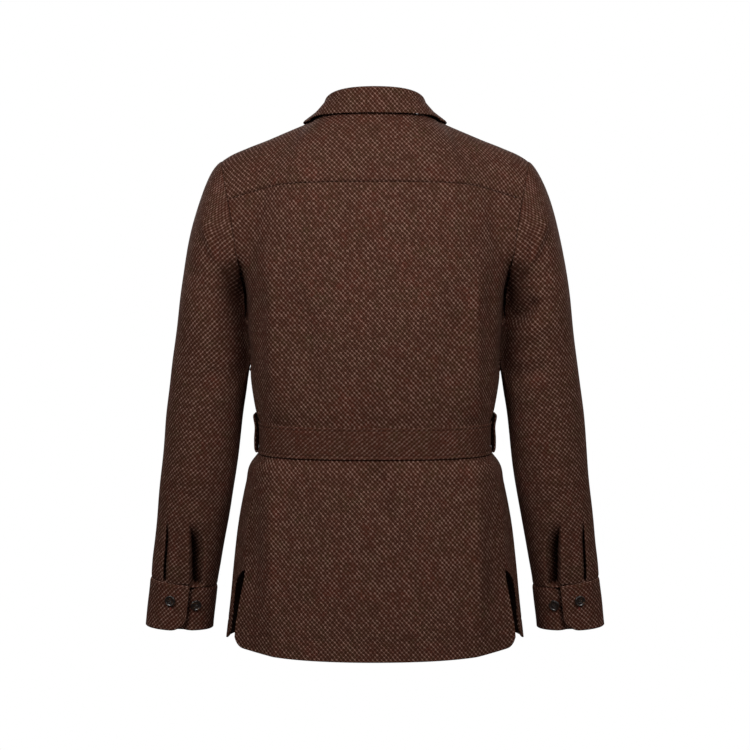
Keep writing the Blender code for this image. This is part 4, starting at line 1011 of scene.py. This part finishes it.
def weave_group():
    """Barleycorn weave: rows of small diamonds with light strokes along them, uneven in yarn and colour."""
    inputs = {"Cloth": ("Vector", None), "Cell Across": ("Float", WEAVE_ACROSS)}
    inputs |= {"Cell Up": ("Float", WEAVE_UP), "Lean": ("Float", WEAVE_LEAN)}
    inputs |= {"Light Yarn": ("Color", light_yarn(LIGHT_YARN))}
    inputs |= {name: ("Color", colour) for name, colour in YARNS.items()}
    group, n = new_tree("barleycorn_weave", "ShaderNodeTree", inputs, {"Color": "Color", "Height": "Float"})
    given = n.add("NodeGroupInput").outputs
    cloth = given["Cloth"]
    slub = n.vector("SUBTRACT", n.noise(cloth, SLUB_SCALE)["Color"], (0.5, 0.5, 0.5))
    place = n.parts(n.vector("ADD", cloth, n.vector("MULTIPLY", slub, SLUB_BEND)))
    a = n.math("DIVIDE", place["X"], given["Cell Across"])
    b = n.math("DIVIDE", place["Y"], given["Cell Up"])
    p, q = n.math("ADD", a, b), n.math("SUBTRACT", a, b)
    along, athwart = (n.scaled(n.math("COSINE", n.times(k, 2 * math.pi)), 0.5, 0.5) for k in (p, q))
    cell = n.one("ShaderNodeCombineXYZ", {0: n.math("ROUND", p), 1: n.math("ROUND", q)})
    each = n.add("ShaderNodeTexWhiteNoise", {"Vector": cell}, noise_dimensions="2D").outputs
    thin, thin_cross = (n.ranged(k, STROKE_FROM, 1.0) for k in (along, athwart))
    main = n.times(thin, n.scaled(athwart, *STROKE_SWELL))
    stroke = n.scaled(thin_cross, given["Lean"], main)
    fibre = n.noise(cloth, *FIBRE_NOISE)["Fac"]
    yarn = n.noise(cloth, *YARN_NOISE)["Fac"]
    clouds = n.parts(n.noise(cloth, *CLOUD_NOISE)["Color"])
    shares = n.parts(each["Color"])
    lively = n.scaled(n.math("POWER", shares["X"], STROKE_CURVE), *STROKE_SHARE)
    uneven = n.times(lively, n.scaled(clouds["X"], *CLOUD_SHARE))
    bright = n.times(n.times(stroke, uneven), n.scaled(fibre, *FIBRE_SHARE))
    redder = n.times(n.ranged(clouds["Y"], *RED_CLOUDS), shares["Y"])
    olive = n.times(n.ranged(clouds["Z"], *OLIVE_CLOUDS), shares["Z"])
    ground = n.mix(redder, given["Ground"], given["Red Yarn"])
    ground = n.mix(olive, ground, given["Olive Yarn"])
    depth = n.scaled(n.math("ADD", along, athwart), *DEPTH_SHARE)
    depth = n.times(depth, n.scaled(yarn, *YARN_SHARE))
    shade = n.one("ShaderNodeCombineColor", {0: depth, 1: depth, 2: depth})
    ground = n.mix(1.0, ground, shade, "MULTIPLY")
    color = n.mix(n.math("MINIMUM", bright, 1.0), ground, given["Light Yarn"])
    height = n.math("ADD", stroke, n.times(fibre, FIBRE_HEIGHT))
    n.add("NodeGroupOutput", {"Color": color, "Height": height})
    return group


def new_material(name, **constants):
    """A material with its Principled shader's fixed values set."""
    material = bpy.data.materials.new(name)
    material.use_nodes = True
    shader = material.node_tree.nodes["Principled BSDF"]
    for key, value in constants.items():
        shader.inputs[key.replace("_", " ")].default_value = value
    return material, Nodes(material.node_tree), shader


def lay_on(n, shader, colour, rough, bump):
    """Joins a material's colour, its roughness and its bump (strength, depth and height) to its shader."""
    raised = n.one("ShaderNodeBump", dict(zip(("Strength", "Distance", "Height"), bump)))
    for name, value in (("Base Color", colour), ("Roughness", rough), ("Normal", raised)):
        n.feed(shader.inputs[name], value)


def tweed_material(name, group, light):
    """Tweed: the weave, its height and its dry, slightly hairy face."""
    constants = {"Specular IOR Level": 0.05, "Sheen Weight": 0.03, "Sheen Roughness": 0.5}
    material, n, shader = new_material(name, **constants, **{"Sheen Tint": (0.50, 0.33, 0.26, 1)})
    laid = n.one("ShaderNodeUVMap", uv_map="cloth")
    weave = n.add("ShaderNodeGroup", node_tree=group)
    for key, value in {"Cloth": laid, "Lean": WEAVE_LEAN, **YARNS, "Light Yarn": light_yarn(light)}.items():
        n.feed(weave.inputs[key], value)
    height = weave.outputs["Height"]
    lay_on(n, shader, weave.outputs["Color"], n.ranged(height, *TWEED_ROUGH), (*TWEED_BUMP, height))
    return material


def horn_material():
    """Polished dark horn with tan streaks across a button's face."""
    constants = {"Specular IOR Level": 0.55, "Coat Weight": 0.35, "Coat Roughness": 0.12}
    material, n, shader = new_material("polished_horn", **constants)
    face = n.one("ShaderNodeUVMap", uv_map="face")
    grain = n.one("ShaderNodeMapping", {"Vector": face, "Scale": (1.0, 0.22, 1.0)})
    bands = n.noise(grain, 620.0, 3.0, 0.6)["Fac"]
    cloud = n.noise(face, 190.0)["Fac"]
    streaks = n.times(n.ranged(bands, 0.53, 0.70), n.ranged(cloud, 0.44, 0.62))
    dark = n.mix(cloud, (0.006, 0.004, 0.004, 1), (0.018, 0.010, 0.007, 1))
    colour = n.mix(streaks, dark, (0.16, 0.075, 0.026, 1))
    lay_on(n, shader, colour, n.ranged(bands, 0.0, 1.0, 0.20, 0.38), (0.08, 0.0002, bands))
    return material


def thread_material(name, dark, light):
    """Sewing thread, with the small changes of colour of twisted yarn."""
    material, n, shader = new_material(name, **{"Specular IOR Level": 0.3, "Sheen Weight": 0.1})
    place = n.add("ShaderNodeTexCoord").outputs["Object"]
    twist = n.noise(place, 2600.0, 1.0)["Fac"]
    lay_on(n, shader, n.mix(twist, dark, light), n.ranged(twist, 0.0, 1.0, 0.6, 0.85), (0.3, 0.0002, twist))
    return material


WEAVE = weave_group()
TWEED = tweed_material("tweed", WEAVE, LIGHT_YARN)
# The belt's copy of the tweed, whose dimmer light yarn is painted shade.
BELT_SHADED_TWEED = tweed_material("tweed_painted_belt_shade", WEAVE, BELT_SHADE_LIGHT_YARN)
HORN = horn_material()
DARK_THREAD = thread_material("dark_thread", (0.012, 0.007, 0.005, 1), (0.035, 0.018, 0.012, 1))
RED_THREAD = thread_material("red_brown_thread", (0.10, 0.016, 0.010, 1), (0.22, 0.036, 0.020, 1))


def body_rows(count):
    """Rows of a body piece, closer at the hem, at both edges of the belt and at the top."""
    by_belt = (0.40, 0.012, 1.0), (0.47, 0.012, 1.0)
    shares = spaced(count, (0.0, 0.008, 5.0), (0.036, 0.010, 1.5), *by_belt, (1.0, 0.006, 9.0))
    return np.interp(shares, [0.0, BODY_CHEST_ROW, 1.0], [0.0, 1.0, 2.0])


def hem_wall(points):
    """The wall of a piece that is turned up at the hem, and the faint line where the turning ends."""
    up = metres_along(points, 0)
    groove = HEM_GROOVE * np.exp(-((up - HEM_DEPTH) / HEM_GROOVE_REACH) ** 2)
    return CLOTH + HEM_TURNING * (1 - ease(*HEM_TURNING_FADE, up)), groove


def side_edge(height):
    """How much of a side edge is sewn, from 0 at the open vent to 1, and how much of that is the skirt."""
    sewn = ease(*VENT_SEWN, height)
    return sewn, sewn * (1 - ease(*SKIRT_FADE, height))


def make_back():
    across = 2 * spaced(118, *both_ends(0.012, 4.0)) - 1
    u, v = np.meshgrid(across, body_rows(150))
    points = back_place(u, v)
    height = points[..., 2]
    face = faces_out(points, -1.0, False)
    over, up = metres_along(points, 1), metres_along(points, 0)
    edge = np.minimum(over, over[:, -1:] - over)
    sewn, skirt = side_edge(height)
    wall, groove = hem_wall(points)
    rise = creased(points, face, CREASES["back"]) + wander(points, *BODY_WANDER)
    rise = rise * ease(*CREASES_OFF_BELT, np.abs(height - BELT_MID)) - groove
    rise += seam_dip(edge) * (sewn - skirt) + SKIRT_SEAM_RISE * skirt * np.exp(-edge / SKIRT_SEAM_SPREAD)
    rise += seam_dip(up[-1:] - up, YOKE_DIP) * ease(*YOKE_DIP_FADE, edge)
    rise += VENT_FLARE * np.clip(1 - edge / VENT_FLARE_REACH, 0, None) ** 2 * ease(*VENT_FLARE_FADE, height)
    give = np.where(np.abs(u) > 0.5, -np.sign(u), 0.0) * PRESS_GIVE * pressed(points)
    moved = armpit_hollow(points, HOLLOW_ON_BACK) + side_fall(points) + moved_by(give, 0.0)
    laid = body_layout(points, -1.0, len(across) // 2)
    points = points + face * rise[..., None] + moved
    return new_piece("back_cloth", *shell(points, wall, -1.0, True, uv=laid), TWEED)


def make_yoke():
    across = 2 * spaced(118, *both_ends(0.012, 4.0)) - 1
    u, v = np.meshgrid(across, spaced(36, *both_ends(0.04, 4.0)))
    points = yoke_place(u, v)
    face = faces_out(points, -1.0, False)
    over, up = metres_along(points, 1), metres_along(points, 0)
    edge = np.minimum(over, over[:, -1:] - over)
    rise = wander(points, *YOKE_WANDER) + seam_dip(edge, ARMHOLE_DIP) + seam_dip(up[-1:] - up)
    rise += seam_dip(up, YOKE_DIP) * ease(*YOKE_DIP_FADE, edge)
    return new_piece("back_yoke_cloth", *shell(points + face * rise[..., None], CLOTH, -1.0, True), TWEED)


def make_front(hand, side):
    across = spaced(70, *both_ends(0.02, 4.0))
    u, v = np.meshgrid(across, body_rows(168))
    points = mirrored(front_place(u, v), side)
    height = points[..., 2]
    face = faces_out(points, side, False)
    over, up = metres_along(points, 1), metres_along(points, 0)
    edge = over[:, -1:] - over
    sewn, skirt = side_edge(height)
    wall, groove = hem_wall(points)
    rise = creased(points, face, CREASES["front_" + hand]) + wander(points, *BODY_WANDER)
    rise = rise * ease(*CREASES_OFF_BELT, np.abs(height - BELT_MID)) * ease(*CREASES_OFF_LAP, over) - groove
    rise += seam_dip(edge) * (sewn - skirt) + seam_dip(edge, SKIRT_SEAM_DIP) * skirt + seam_dip(up[-1:] - up)
    if hand == "left":
        rise += lap_rise(front_share(u, v))
    give = np.where(u > 0.5, -side, 0.0) * PRESS_GIVE * pressed(points)
    points = points + face * rise[..., None] + side_fall(points) + moved_by(give, 0.0)
    laid = body_layout(points, side, len(across) // 2)
    lap = mirrored(underlap_place(*np.meshgrid(spaced(14), spaced(26))), side)
    lap = lap - faces_out(lap, side, False) * (CLOTH + UNDERLAP_SUNK)
    parts = [shell(points, wall, side, True, uv=laid), shell(lap, CLOTH, side, True)]
    return new_piece(f"front_{hand}_cloth", *join_shells(parts), TWEED)


def make_sleeve(hand, side):
    lines = (SLIT_ANGLE - CROWD_AHEAD, PLEAT_ANGLE - CROWD_AHEAD, GATHER_ANGLE)
    slit, pleat, gather = ((SLEEVE_SEAM_ANGLE - a) % 360 / 360 for a in lines)
    crowded = (slit, 0.022, 6.0), (pleat, 0.024, 4.0), (gather, 0.012, 1.5), *both_ends(0.01, 2.0)
    rows = spaced(150, (0.0, 0.012, 4.0), (1.0, 0.008, 4.0))
    down = np.interp(rows, [0.0, SLEEVE_RING_ROW, 1.0], [0.0, 1.0, 2.0])
    u, v = np.meshgrid(spaced(150, *crowded)[:-1], down)
    points = mirrored(sleeve_place(u, v), side)
    face = faces_out(points, side, True)
    along = metres_along(points, 0)
    from_cuff = along[-1:] - along
    from_seam = np.radians(np.abs(round_by(360 * u, 0.0))) * SLEEVE_RADIUS
    press = pressed(points)
    rise = creased(points, face, CREASES["sleeve_" + hand]) * (1 - press) + wander(points, *SLEEVE_WANDER)
    rise = rise * ease(*CREASES_OFF_ARMHOLE, along)
    rise += seam_dip(along, ARMHOLE_DIP) + seam_dip(from_cuff) + SLEEVE_SEAM_SHARE * seam_dip(from_seam)
    gathers = cuff_gathers(u, points[..., 2]) * ease(*GATHERS_OFF_CUFF, from_cuff)
    toward = ease(*PRESS_FACING, -side * face[..., 0]) * ease(*PRESS_OFF_SEAM, along)
    inward = -side * toward * press * beside_body(points)
    laid = sleeve_layout(points, side, GRAIN[hand])
    moved = armpit_hollow(points, HOLLOW_ON_SLEEVE) + moved_by(inward, gathers)
    points = points + face * rise[..., None] + moved
    made = shell(points, CLOTH, side, False, closed=True, uv=laid)
    return new_piece(f"sleeve_{hand}_cloth", *made, TWEED)


def make_cuff(hand, side):
    rows = spaced(26, (0.0, 0.06, 2.0), (1.0, 0.06, 3.0))
    u, v = np.meshgrid(spaced(128, *both_ends(0.02, 6.0)), rows)
    points = mirrored(cuff_place(u, v), side)
    face = faces_out(points, -side, False)
    up = metres_along(points, 0)
    free = ease(*CUFF_WANDER_STARTS, u) * (1 - ease(*CUFF_WANDER_ENDS, u))
    uneven = wander(points, *CUFF_WANDER) * free
    points = points + face * (uneven + seam_dip(up[-1:] - up))[..., None]
    made = shell(points, CUFF_WALL, -side, True, from_last=True, grain=GRAIN[hand], rim=ROUND_RIM)
    return new_piece(f"cuff_{hand}_cloth", *made, TWEED)


def make_collar():
    across = 2 * spaced(160, *both_ends(0.01, 4.0)) - 1
    points = collar_place(*np.meshgrid(across, spaced(60, (0.45, 0.10, 1.0), (1.0, 0.03, 3.0))))
    return new_piece("collar_cloth", *shell(points, COLLAR_WALL, 1.0, False, rim=ROUND_RIM), TWEED)


def make_belt():
    stitches = (BELT_STITCH_AT, 0.05, 3.0), (1 - BELT_STITCH_AT, 0.05, 3.0)
    u, v = np.meshgrid(spaced(300, *both_ends(0.004, 3.0)), spaced(28, *both_ends(0.05, 2.0), *stitches))
    points = belt_place(u, v)
    stitch = (np.minimum(v, 1 - v) - BELT_STITCH_AT) / BELT_STITCH_REACH
    points = points - faces_out(points, -1.0, False) * (BELT_STITCH_DIP * np.exp(-stitch ** 2))[..., None]
    made = shell(points, BELT_WALL, -1.0, True, grain="turned", rim=ROUND_RIM)
    # The belt wears the tweed copy whose dimmer light yarn is painted shade.
    return new_piece("belt_cloth", *made, BELT_SHADED_TWEED)


def make_loop(hand, side):
    u, v = np.meshgrid(spaced(10, *both_ends(0.08, 1.0)), spaced(60, *both_ends(0.03, 6.0)))
    points = mirrored(loop_place(u, v), side)
    return new_piece(f"belt_loop_{hand}_cloth", *shell(points, LOOP_WALL, -side, True, rim=ROUND_RIM), TWEED)


# The turned form of a button: radius as a share of its own, and height as a share of its thickness.
BUTTON = Table("way radius height", [
    (0.00, 0.00, 0.00), (0.20, 0.60, 0.00), (0.27, 0.80, 0.02), (0.34, 0.95, 0.18), (0.40, 1.00, 0.42),
    (0.46, 0.99, 0.72), (0.52, 0.93, 0.94), (0.57, 0.86, 1.00), (0.62, 0.78, 0.96), (0.68, 0.69, 0.82),
    (0.74, 0.62, 0.76), (1.00, 0.00, 0.74),
])
BUTTON_ROWS = ((0.0, 0.2, 4), (0.24, 0.74, 22), (0.76, 1.0, 18))
BUTTON_WAYS = np.concatenate([np.linspace(*rows) for rows in BUTTON_ROWS])
GOLDEN_ANGLE = math.radians(137.5)
BUTTON_SIDES, BUTTON_FACE_FROM, BUTTON_UV_STEP = 56, 0.5, 0.02


def button_seat(name, carrier):
    """Where a button's solid lies: the middle of its back, its across, rise and face, and its sizes."""
    corners = np.array([v.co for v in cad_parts[name].data.vertices], float)
    middle = (corners.min(0) + corners.max(0)) / 2
    face = np.linalg.svd(corners - corners.mean(0), full_matrices=False)[2][2]
    low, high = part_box(carrier)
    if face @ (middle - np.array((low + high) / 2)) < 0:
        face = -face
    height = (corners - middle) @ face
    across = np.cross((0.0, 0.0, 1.0), face)
    across /= np.linalg.norm(across)
    radius = np.abs((corners - middle) @ across).max()
    return middle + face * height.min(), across, np.cross(face, across), face, radius, np.ptp(height)


def button_sewing(start, across, rise, face, thick):
    """Two pairs of threads between a button's holes."""
    level = start + face * (SEWING_LIFT * thick - SEWING_SUNK)
    off = [math.cos(a) * across + math.sin(a) * rise for a in BUTTON_HOLE_ANGLES]
    holes = [level + BUTTON_HOLE_OFF * way for way in off]
    lines = []
    for first, second in (holes[:2], holes[2:]):
        way = (second - first) / np.linalg.norm(second - first)
        for shift in (-1, 1):
            aside = np.cross(face, way) * SEWING_ASIDE * shift
            middle = (first + second) / 2 + face * SEWING_BOW
            lines.append([first + aside, middle + aside, second + aside])
    return lines


def make_button(name, carrier, number):
    """A turned four-hole button in the place of its solid, and the threads that sew it on."""
    start, across, rise, face, radius, thick = button_seat(name, carrier)
    way, turn = np.meshgrid(BUTTON_WAYS, 2 * math.pi * np.arange(BUTTON_SIDES) / BUTTON_SIDES, indexing="ij")
    r = np.maximum(BUTTON.at("radius", way), 1e-4) * radius
    x, y, z = r * np.cos(turn), r * np.sin(turn), BUTTON.at("height", way) * thick
    for a in BUTTON_HOLE_ANGLES:
        off = np.hypot(x - BUTTON_HOLE_OFF * math.cos(a), y - BUTTON_HOLE_OFF * math.sin(a))
        hole = 1 - ease(*BUTTON_HOLE_EDGE, off / BUTTON_HOLE_RADIUS)
        z = z - np.where(way > BUTTON_FACE_FROM, BUTTON_HOLE_DEPTH * hole, 0.0)
    spun = number * GOLDEN_ANGLE
    streak_x = x * math.cos(spun) - y * math.sin(spun) + BUTTON_UV_STEP * number
    uv = np.stack([streak_x, x * math.sin(spun) + y * math.cos(spun)], axis=-1).reshape(-1, 2)
    points = start + x[..., None] * across + y[..., None] * rise + z[..., None] * face
    index, quads = grid_quads(*points.shape[:2], True)
    verts = np.concatenate([points.reshape(-1, 3), [start, points[-1].mean(0)]])
    faces = [quads]
    for loop, pole in ((index[0][::-1], index.size), (index[-1], index.size + 1)):
        pairs = loop.reshape(-1, 2)
        after = np.roll(pairs[:, 0], -1)
        faces.append(np.stack([pairs[:, 0], pairs[:, 1], after, np.full(len(pairs), pole)], axis=-1))
    faces = np.concatenate(faces)
    uv = np.concatenate([uv, uv[index[0]].mean(0)[None], uv[index[-1]].mean(0)[None]])
    made = new_piece(name + "_horn", verts, faces, uv[faces], HORN, "face")
    return made, button_sewing(start, across, rise, face, thick)


def sewing_tree():
    """Thread along the lines of a mesh: round, of a given radius, with closed ends."""
    inputs = {"Lines": ("Geometry", None), "Thread Radius": ("Float", THREAD_RADIUS)}
    inputs |= {"Sides": ("Int", THREAD_SIDES), "Material": ("Material", None)}
    tree, n = new_tree("sewing_thread", "GeometryNodeTree", inputs, {"Thread": "Geometry"})
    given = n.add("NodeGroupInput").outputs
    line = n.one("GeometryNodeMeshToCurve", {"Mesh": given["Lines"]})
    profile = {"Resolution": given["Sides"], "Radius": given["Thread Radius"]}
    ring = n.one("GeometryNodeCurvePrimitiveCircle", profile)
    thread = n.one("GeometryNodeCurveToMesh", {"Curve": line, "Profile Curve": ring, "Fill Caps": True})
    real = n.one("GeometryNodeRealizeInstances", {"Geometry": thread})
    soft = n.one("GeometryNodeSetShadeSmooth", {"Geometry": real})
    dressed = n.one("GeometryNodeSetMaterial", {"Geometry": soft, "Material": given["Material"]})
    n.add("NodeGroupOutput", {"Thread": dressed})
    return tree


def sew(name, tree, lines, radius, material):
    """Threads along lines of points, as one plain mesh."""
    verts, edges = [], []
    for line in lines:
        edges += [(len(verts) + k, len(verts) + k + 1) for k in range(len(line) - 1)]
        verts += [tuple(p) for p in line]
    mesh = bpy.data.meshes.new(name + "_lines")
    mesh.from_pydata(verts, edges, [])
    guide = placed(name + "_lines", mesh)
    modifier = guide.modifiers.new("thread", "NODES")
    modifier.node_group = tree
    inputs = {item.name: item.identifier for item in tree.interface.items_tree if item.in_out == "INPUT"}
    modifier[inputs["Thread Radius"]] = radius
    modifier[inputs["Material"]] = material
    bpy.context.view_layer.update()
    made = bpy.data.meshes.new_from_object(guide.evaluated_get(bpy.context.evaluated_depsgraph_get()))
    made.name = name
    bpy.data.objects.remove(guide)
    return placed(name, made)


def buttonhole(carrier, seat, along):
    """Whipped edges of a buttonhole under a button, on the cloth that carries it."""
    start, across, rise, face = seat[:4]
    way = along[0] * across + along[1] * rise
    aside = np.cross(face, way)
    faces = [tuple(p.vertices) for p in carrier.data.polygons]
    tree = BVHTree.FromPolygons([v.co for v in carrier.data.vertices], faces)

    def on_cloth(point, lift):
        hit = tree.ray_cast(Vector(point + face * CLOTH_FROM), Vector(-face), CLOTH_WITHIN)[0]
        return np.array(hit) + face * lift if hit is not None else point

    count = int(BUTTONHOLE_LENGTH / BUTTONHOLE_PITCH)
    lines = []
    for k in range(count + 1):
        at = start + way * (BUTTONHOLE_SHIFT + BUTTONHOLE_LENGTH * (k / count - 0.5))
        for edge in (-1, 1):
            inner, outer = (at + aside * edge * off for off in (BUTTONHOLE_SLIT, BUTTONHOLE_HALF_WIDTH))
            whip = (inner, (inner + outer) / 2, outer)
            lines.append([on_cloth(point, lift) for point, lift in zip(whip, WHIP_LIFTS)])
    return lines


# The hands, and what carries each kind of button.
HANDS = (("left", 1.0), ("right", -1.0))
BUTTON_CARRIERS = {
    "cuff_button_left": "cuff_left", "cuff_button_right": "cuff_right",
    "front_button": "front_left", "belt_button": "belt",
}


def dress():
    """Makes every piece, lets it ride on the jacket's one body and stand for its solid."""
    cloth = [make_back(), make_yoke(), make_collar(), make_belt()]
    for hand, side in HANDS:
        cloth += [make(hand, side) for make in (make_front, make_sleeve, make_cuff, make_loop)]
    by_name = {piece.name.removesuffix("_cloth"): piece for piece in cloth}
    for node, piece in by_name.items():
        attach(piece, "root")
        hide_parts(node)
    names = sorted(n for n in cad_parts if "button" in n)
    sewn, red = [], []
    for number, name in enumerate(names):
        carrier = next(c for start, c in BUTTON_CARRIERS.items() if name.startswith(start))
        made, lines = make_button(name, carrier, number)
        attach(made, "root")
        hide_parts(name)
        sewn += lines
        if not (name.startswith("cuff") and name.endswith("2")):
            along = (1.0, 0.0) if name == "belt_button" else (0.0, -1.0)
            red += buttonhole(by_name[carrier], button_seat(name, carrier), along)
    tree = sewing_tree()
    sewing = sew("button_sewing", tree, sewn, SEWING_RADIUS, DARK_THREAD)
    for piece in (sewing, sew("buttonholes", tree, red, THREAD_RADIUS, RED_THREAD)):
        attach(piece, "root")


# The camera stands where the jacket's back is seen level and a little from above. The lights stand at both
# sides, before and behind, and the surround and the floor give a little light of their own.
CAMERA_PLACE, CAMERA_TARGET = (0.0, 2.592, -0.1415), (0.0, 0.0, -0.34544)
CAMERA_LENS, CAMERA_SENSOR = 91.8, 36.0
FLOOR_HEIGHT, FLOOR_HALF = -0.95, 12.0
LIGHT_ASIDE, LIGHT_AWAY, LIGHT_UP = 0.75, 1.25, 0.42
LIGHT_TARGET, LIGHT_SIZE = (0.0, 0.0, -0.30), 0.8
KEY_WATTS, FRONT_WATTS = 12.5, 11.4
WORLD_LIT, FLOOR_LIT = 0.26, 0.04


def seen_white(tree, shader, sink, lit):
    """A plain white to the eye that gives only as much light to the jacket as lit says."""
    n = Nodes(tree)
    tree.nodes.clear()
    dim, white = (n.one(shader, {"Color": (1, 1, 1, 1), "Strength": light}) for light in (lit, 1.0))
    eye = n.add("ShaderNodeLightPath").outputs["Is Camera Ray"]
    n.add(sink, {"Surface": n.one("ShaderNodeMixShader", {0: eye, 1: dim, 2: white})})


def aim(thing, place, target):
    """Puts a light or the camera at a place and turns it to a target."""
    thing.location = place
    thing.rotation_euler = (Vector(target) - Vector(place)).to_track_quat("-Z", "Y").to_euler()


def soft_light(name, place, watts):
    light = bpy.data.lights.new(name, "AREA")
    light.shape, light.size, light.energy = "DISK", LIGHT_SIZE, watts
    aim(placed(name, light), place, LIGHT_TARGET)


def studio():
    """A white floor and surround, soft light from before and behind, and the camera."""
    scene = bpy.context.scene
    scene.view_settings.view_transform = "Standard"
    scene.world = bpy.data.worlds.new("studio")
    scene.world.use_nodes = True
    seen_white(scene.world.node_tree, "ShaderNodeBackground", "ShaderNodeOutputWorld", WORLD_LIT)
    ways = ((-1, -1), (1, -1), (1, 1), (-1, 1))
    mesh = bpy.data.meshes.new("floor")
    mesh.from_pydata([(x * FLOOR_HALF, y * FLOOR_HALF, FLOOR_HEIGHT) for x, y in ways], [], [(0, 1, 2, 3)])
    white = bpy.data.materials.new("white_floor")
    white.use_nodes = True
    seen_white(white.node_tree, "ShaderNodeEmission", "ShaderNodeOutputMaterial", FLOOR_LIT)
    mesh.materials.append(white)
    placed("floor", mesh)
    for hand, side in HANDS:
        soft_light("key_" + hand, (LIGHT_ASIDE * side, LIGHT_AWAY, LIGHT_UP), KEY_WATTS)
        soft_light("key_for_front_" + hand, (LIGHT_ASIDE * side, -LIGHT_AWAY, LIGHT_UP), FRONT_WATTS)
    camera = placed("camera", bpy.data.cameras.new("camera"))
    camera.data.lens, camera.data.sensor_width = CAMERA_LENS, CAMERA_SENSOR
    aim(camera, CAMERA_PLACE, CAMERA_TARGET)
    scene.camera = camera


dress()
studio()
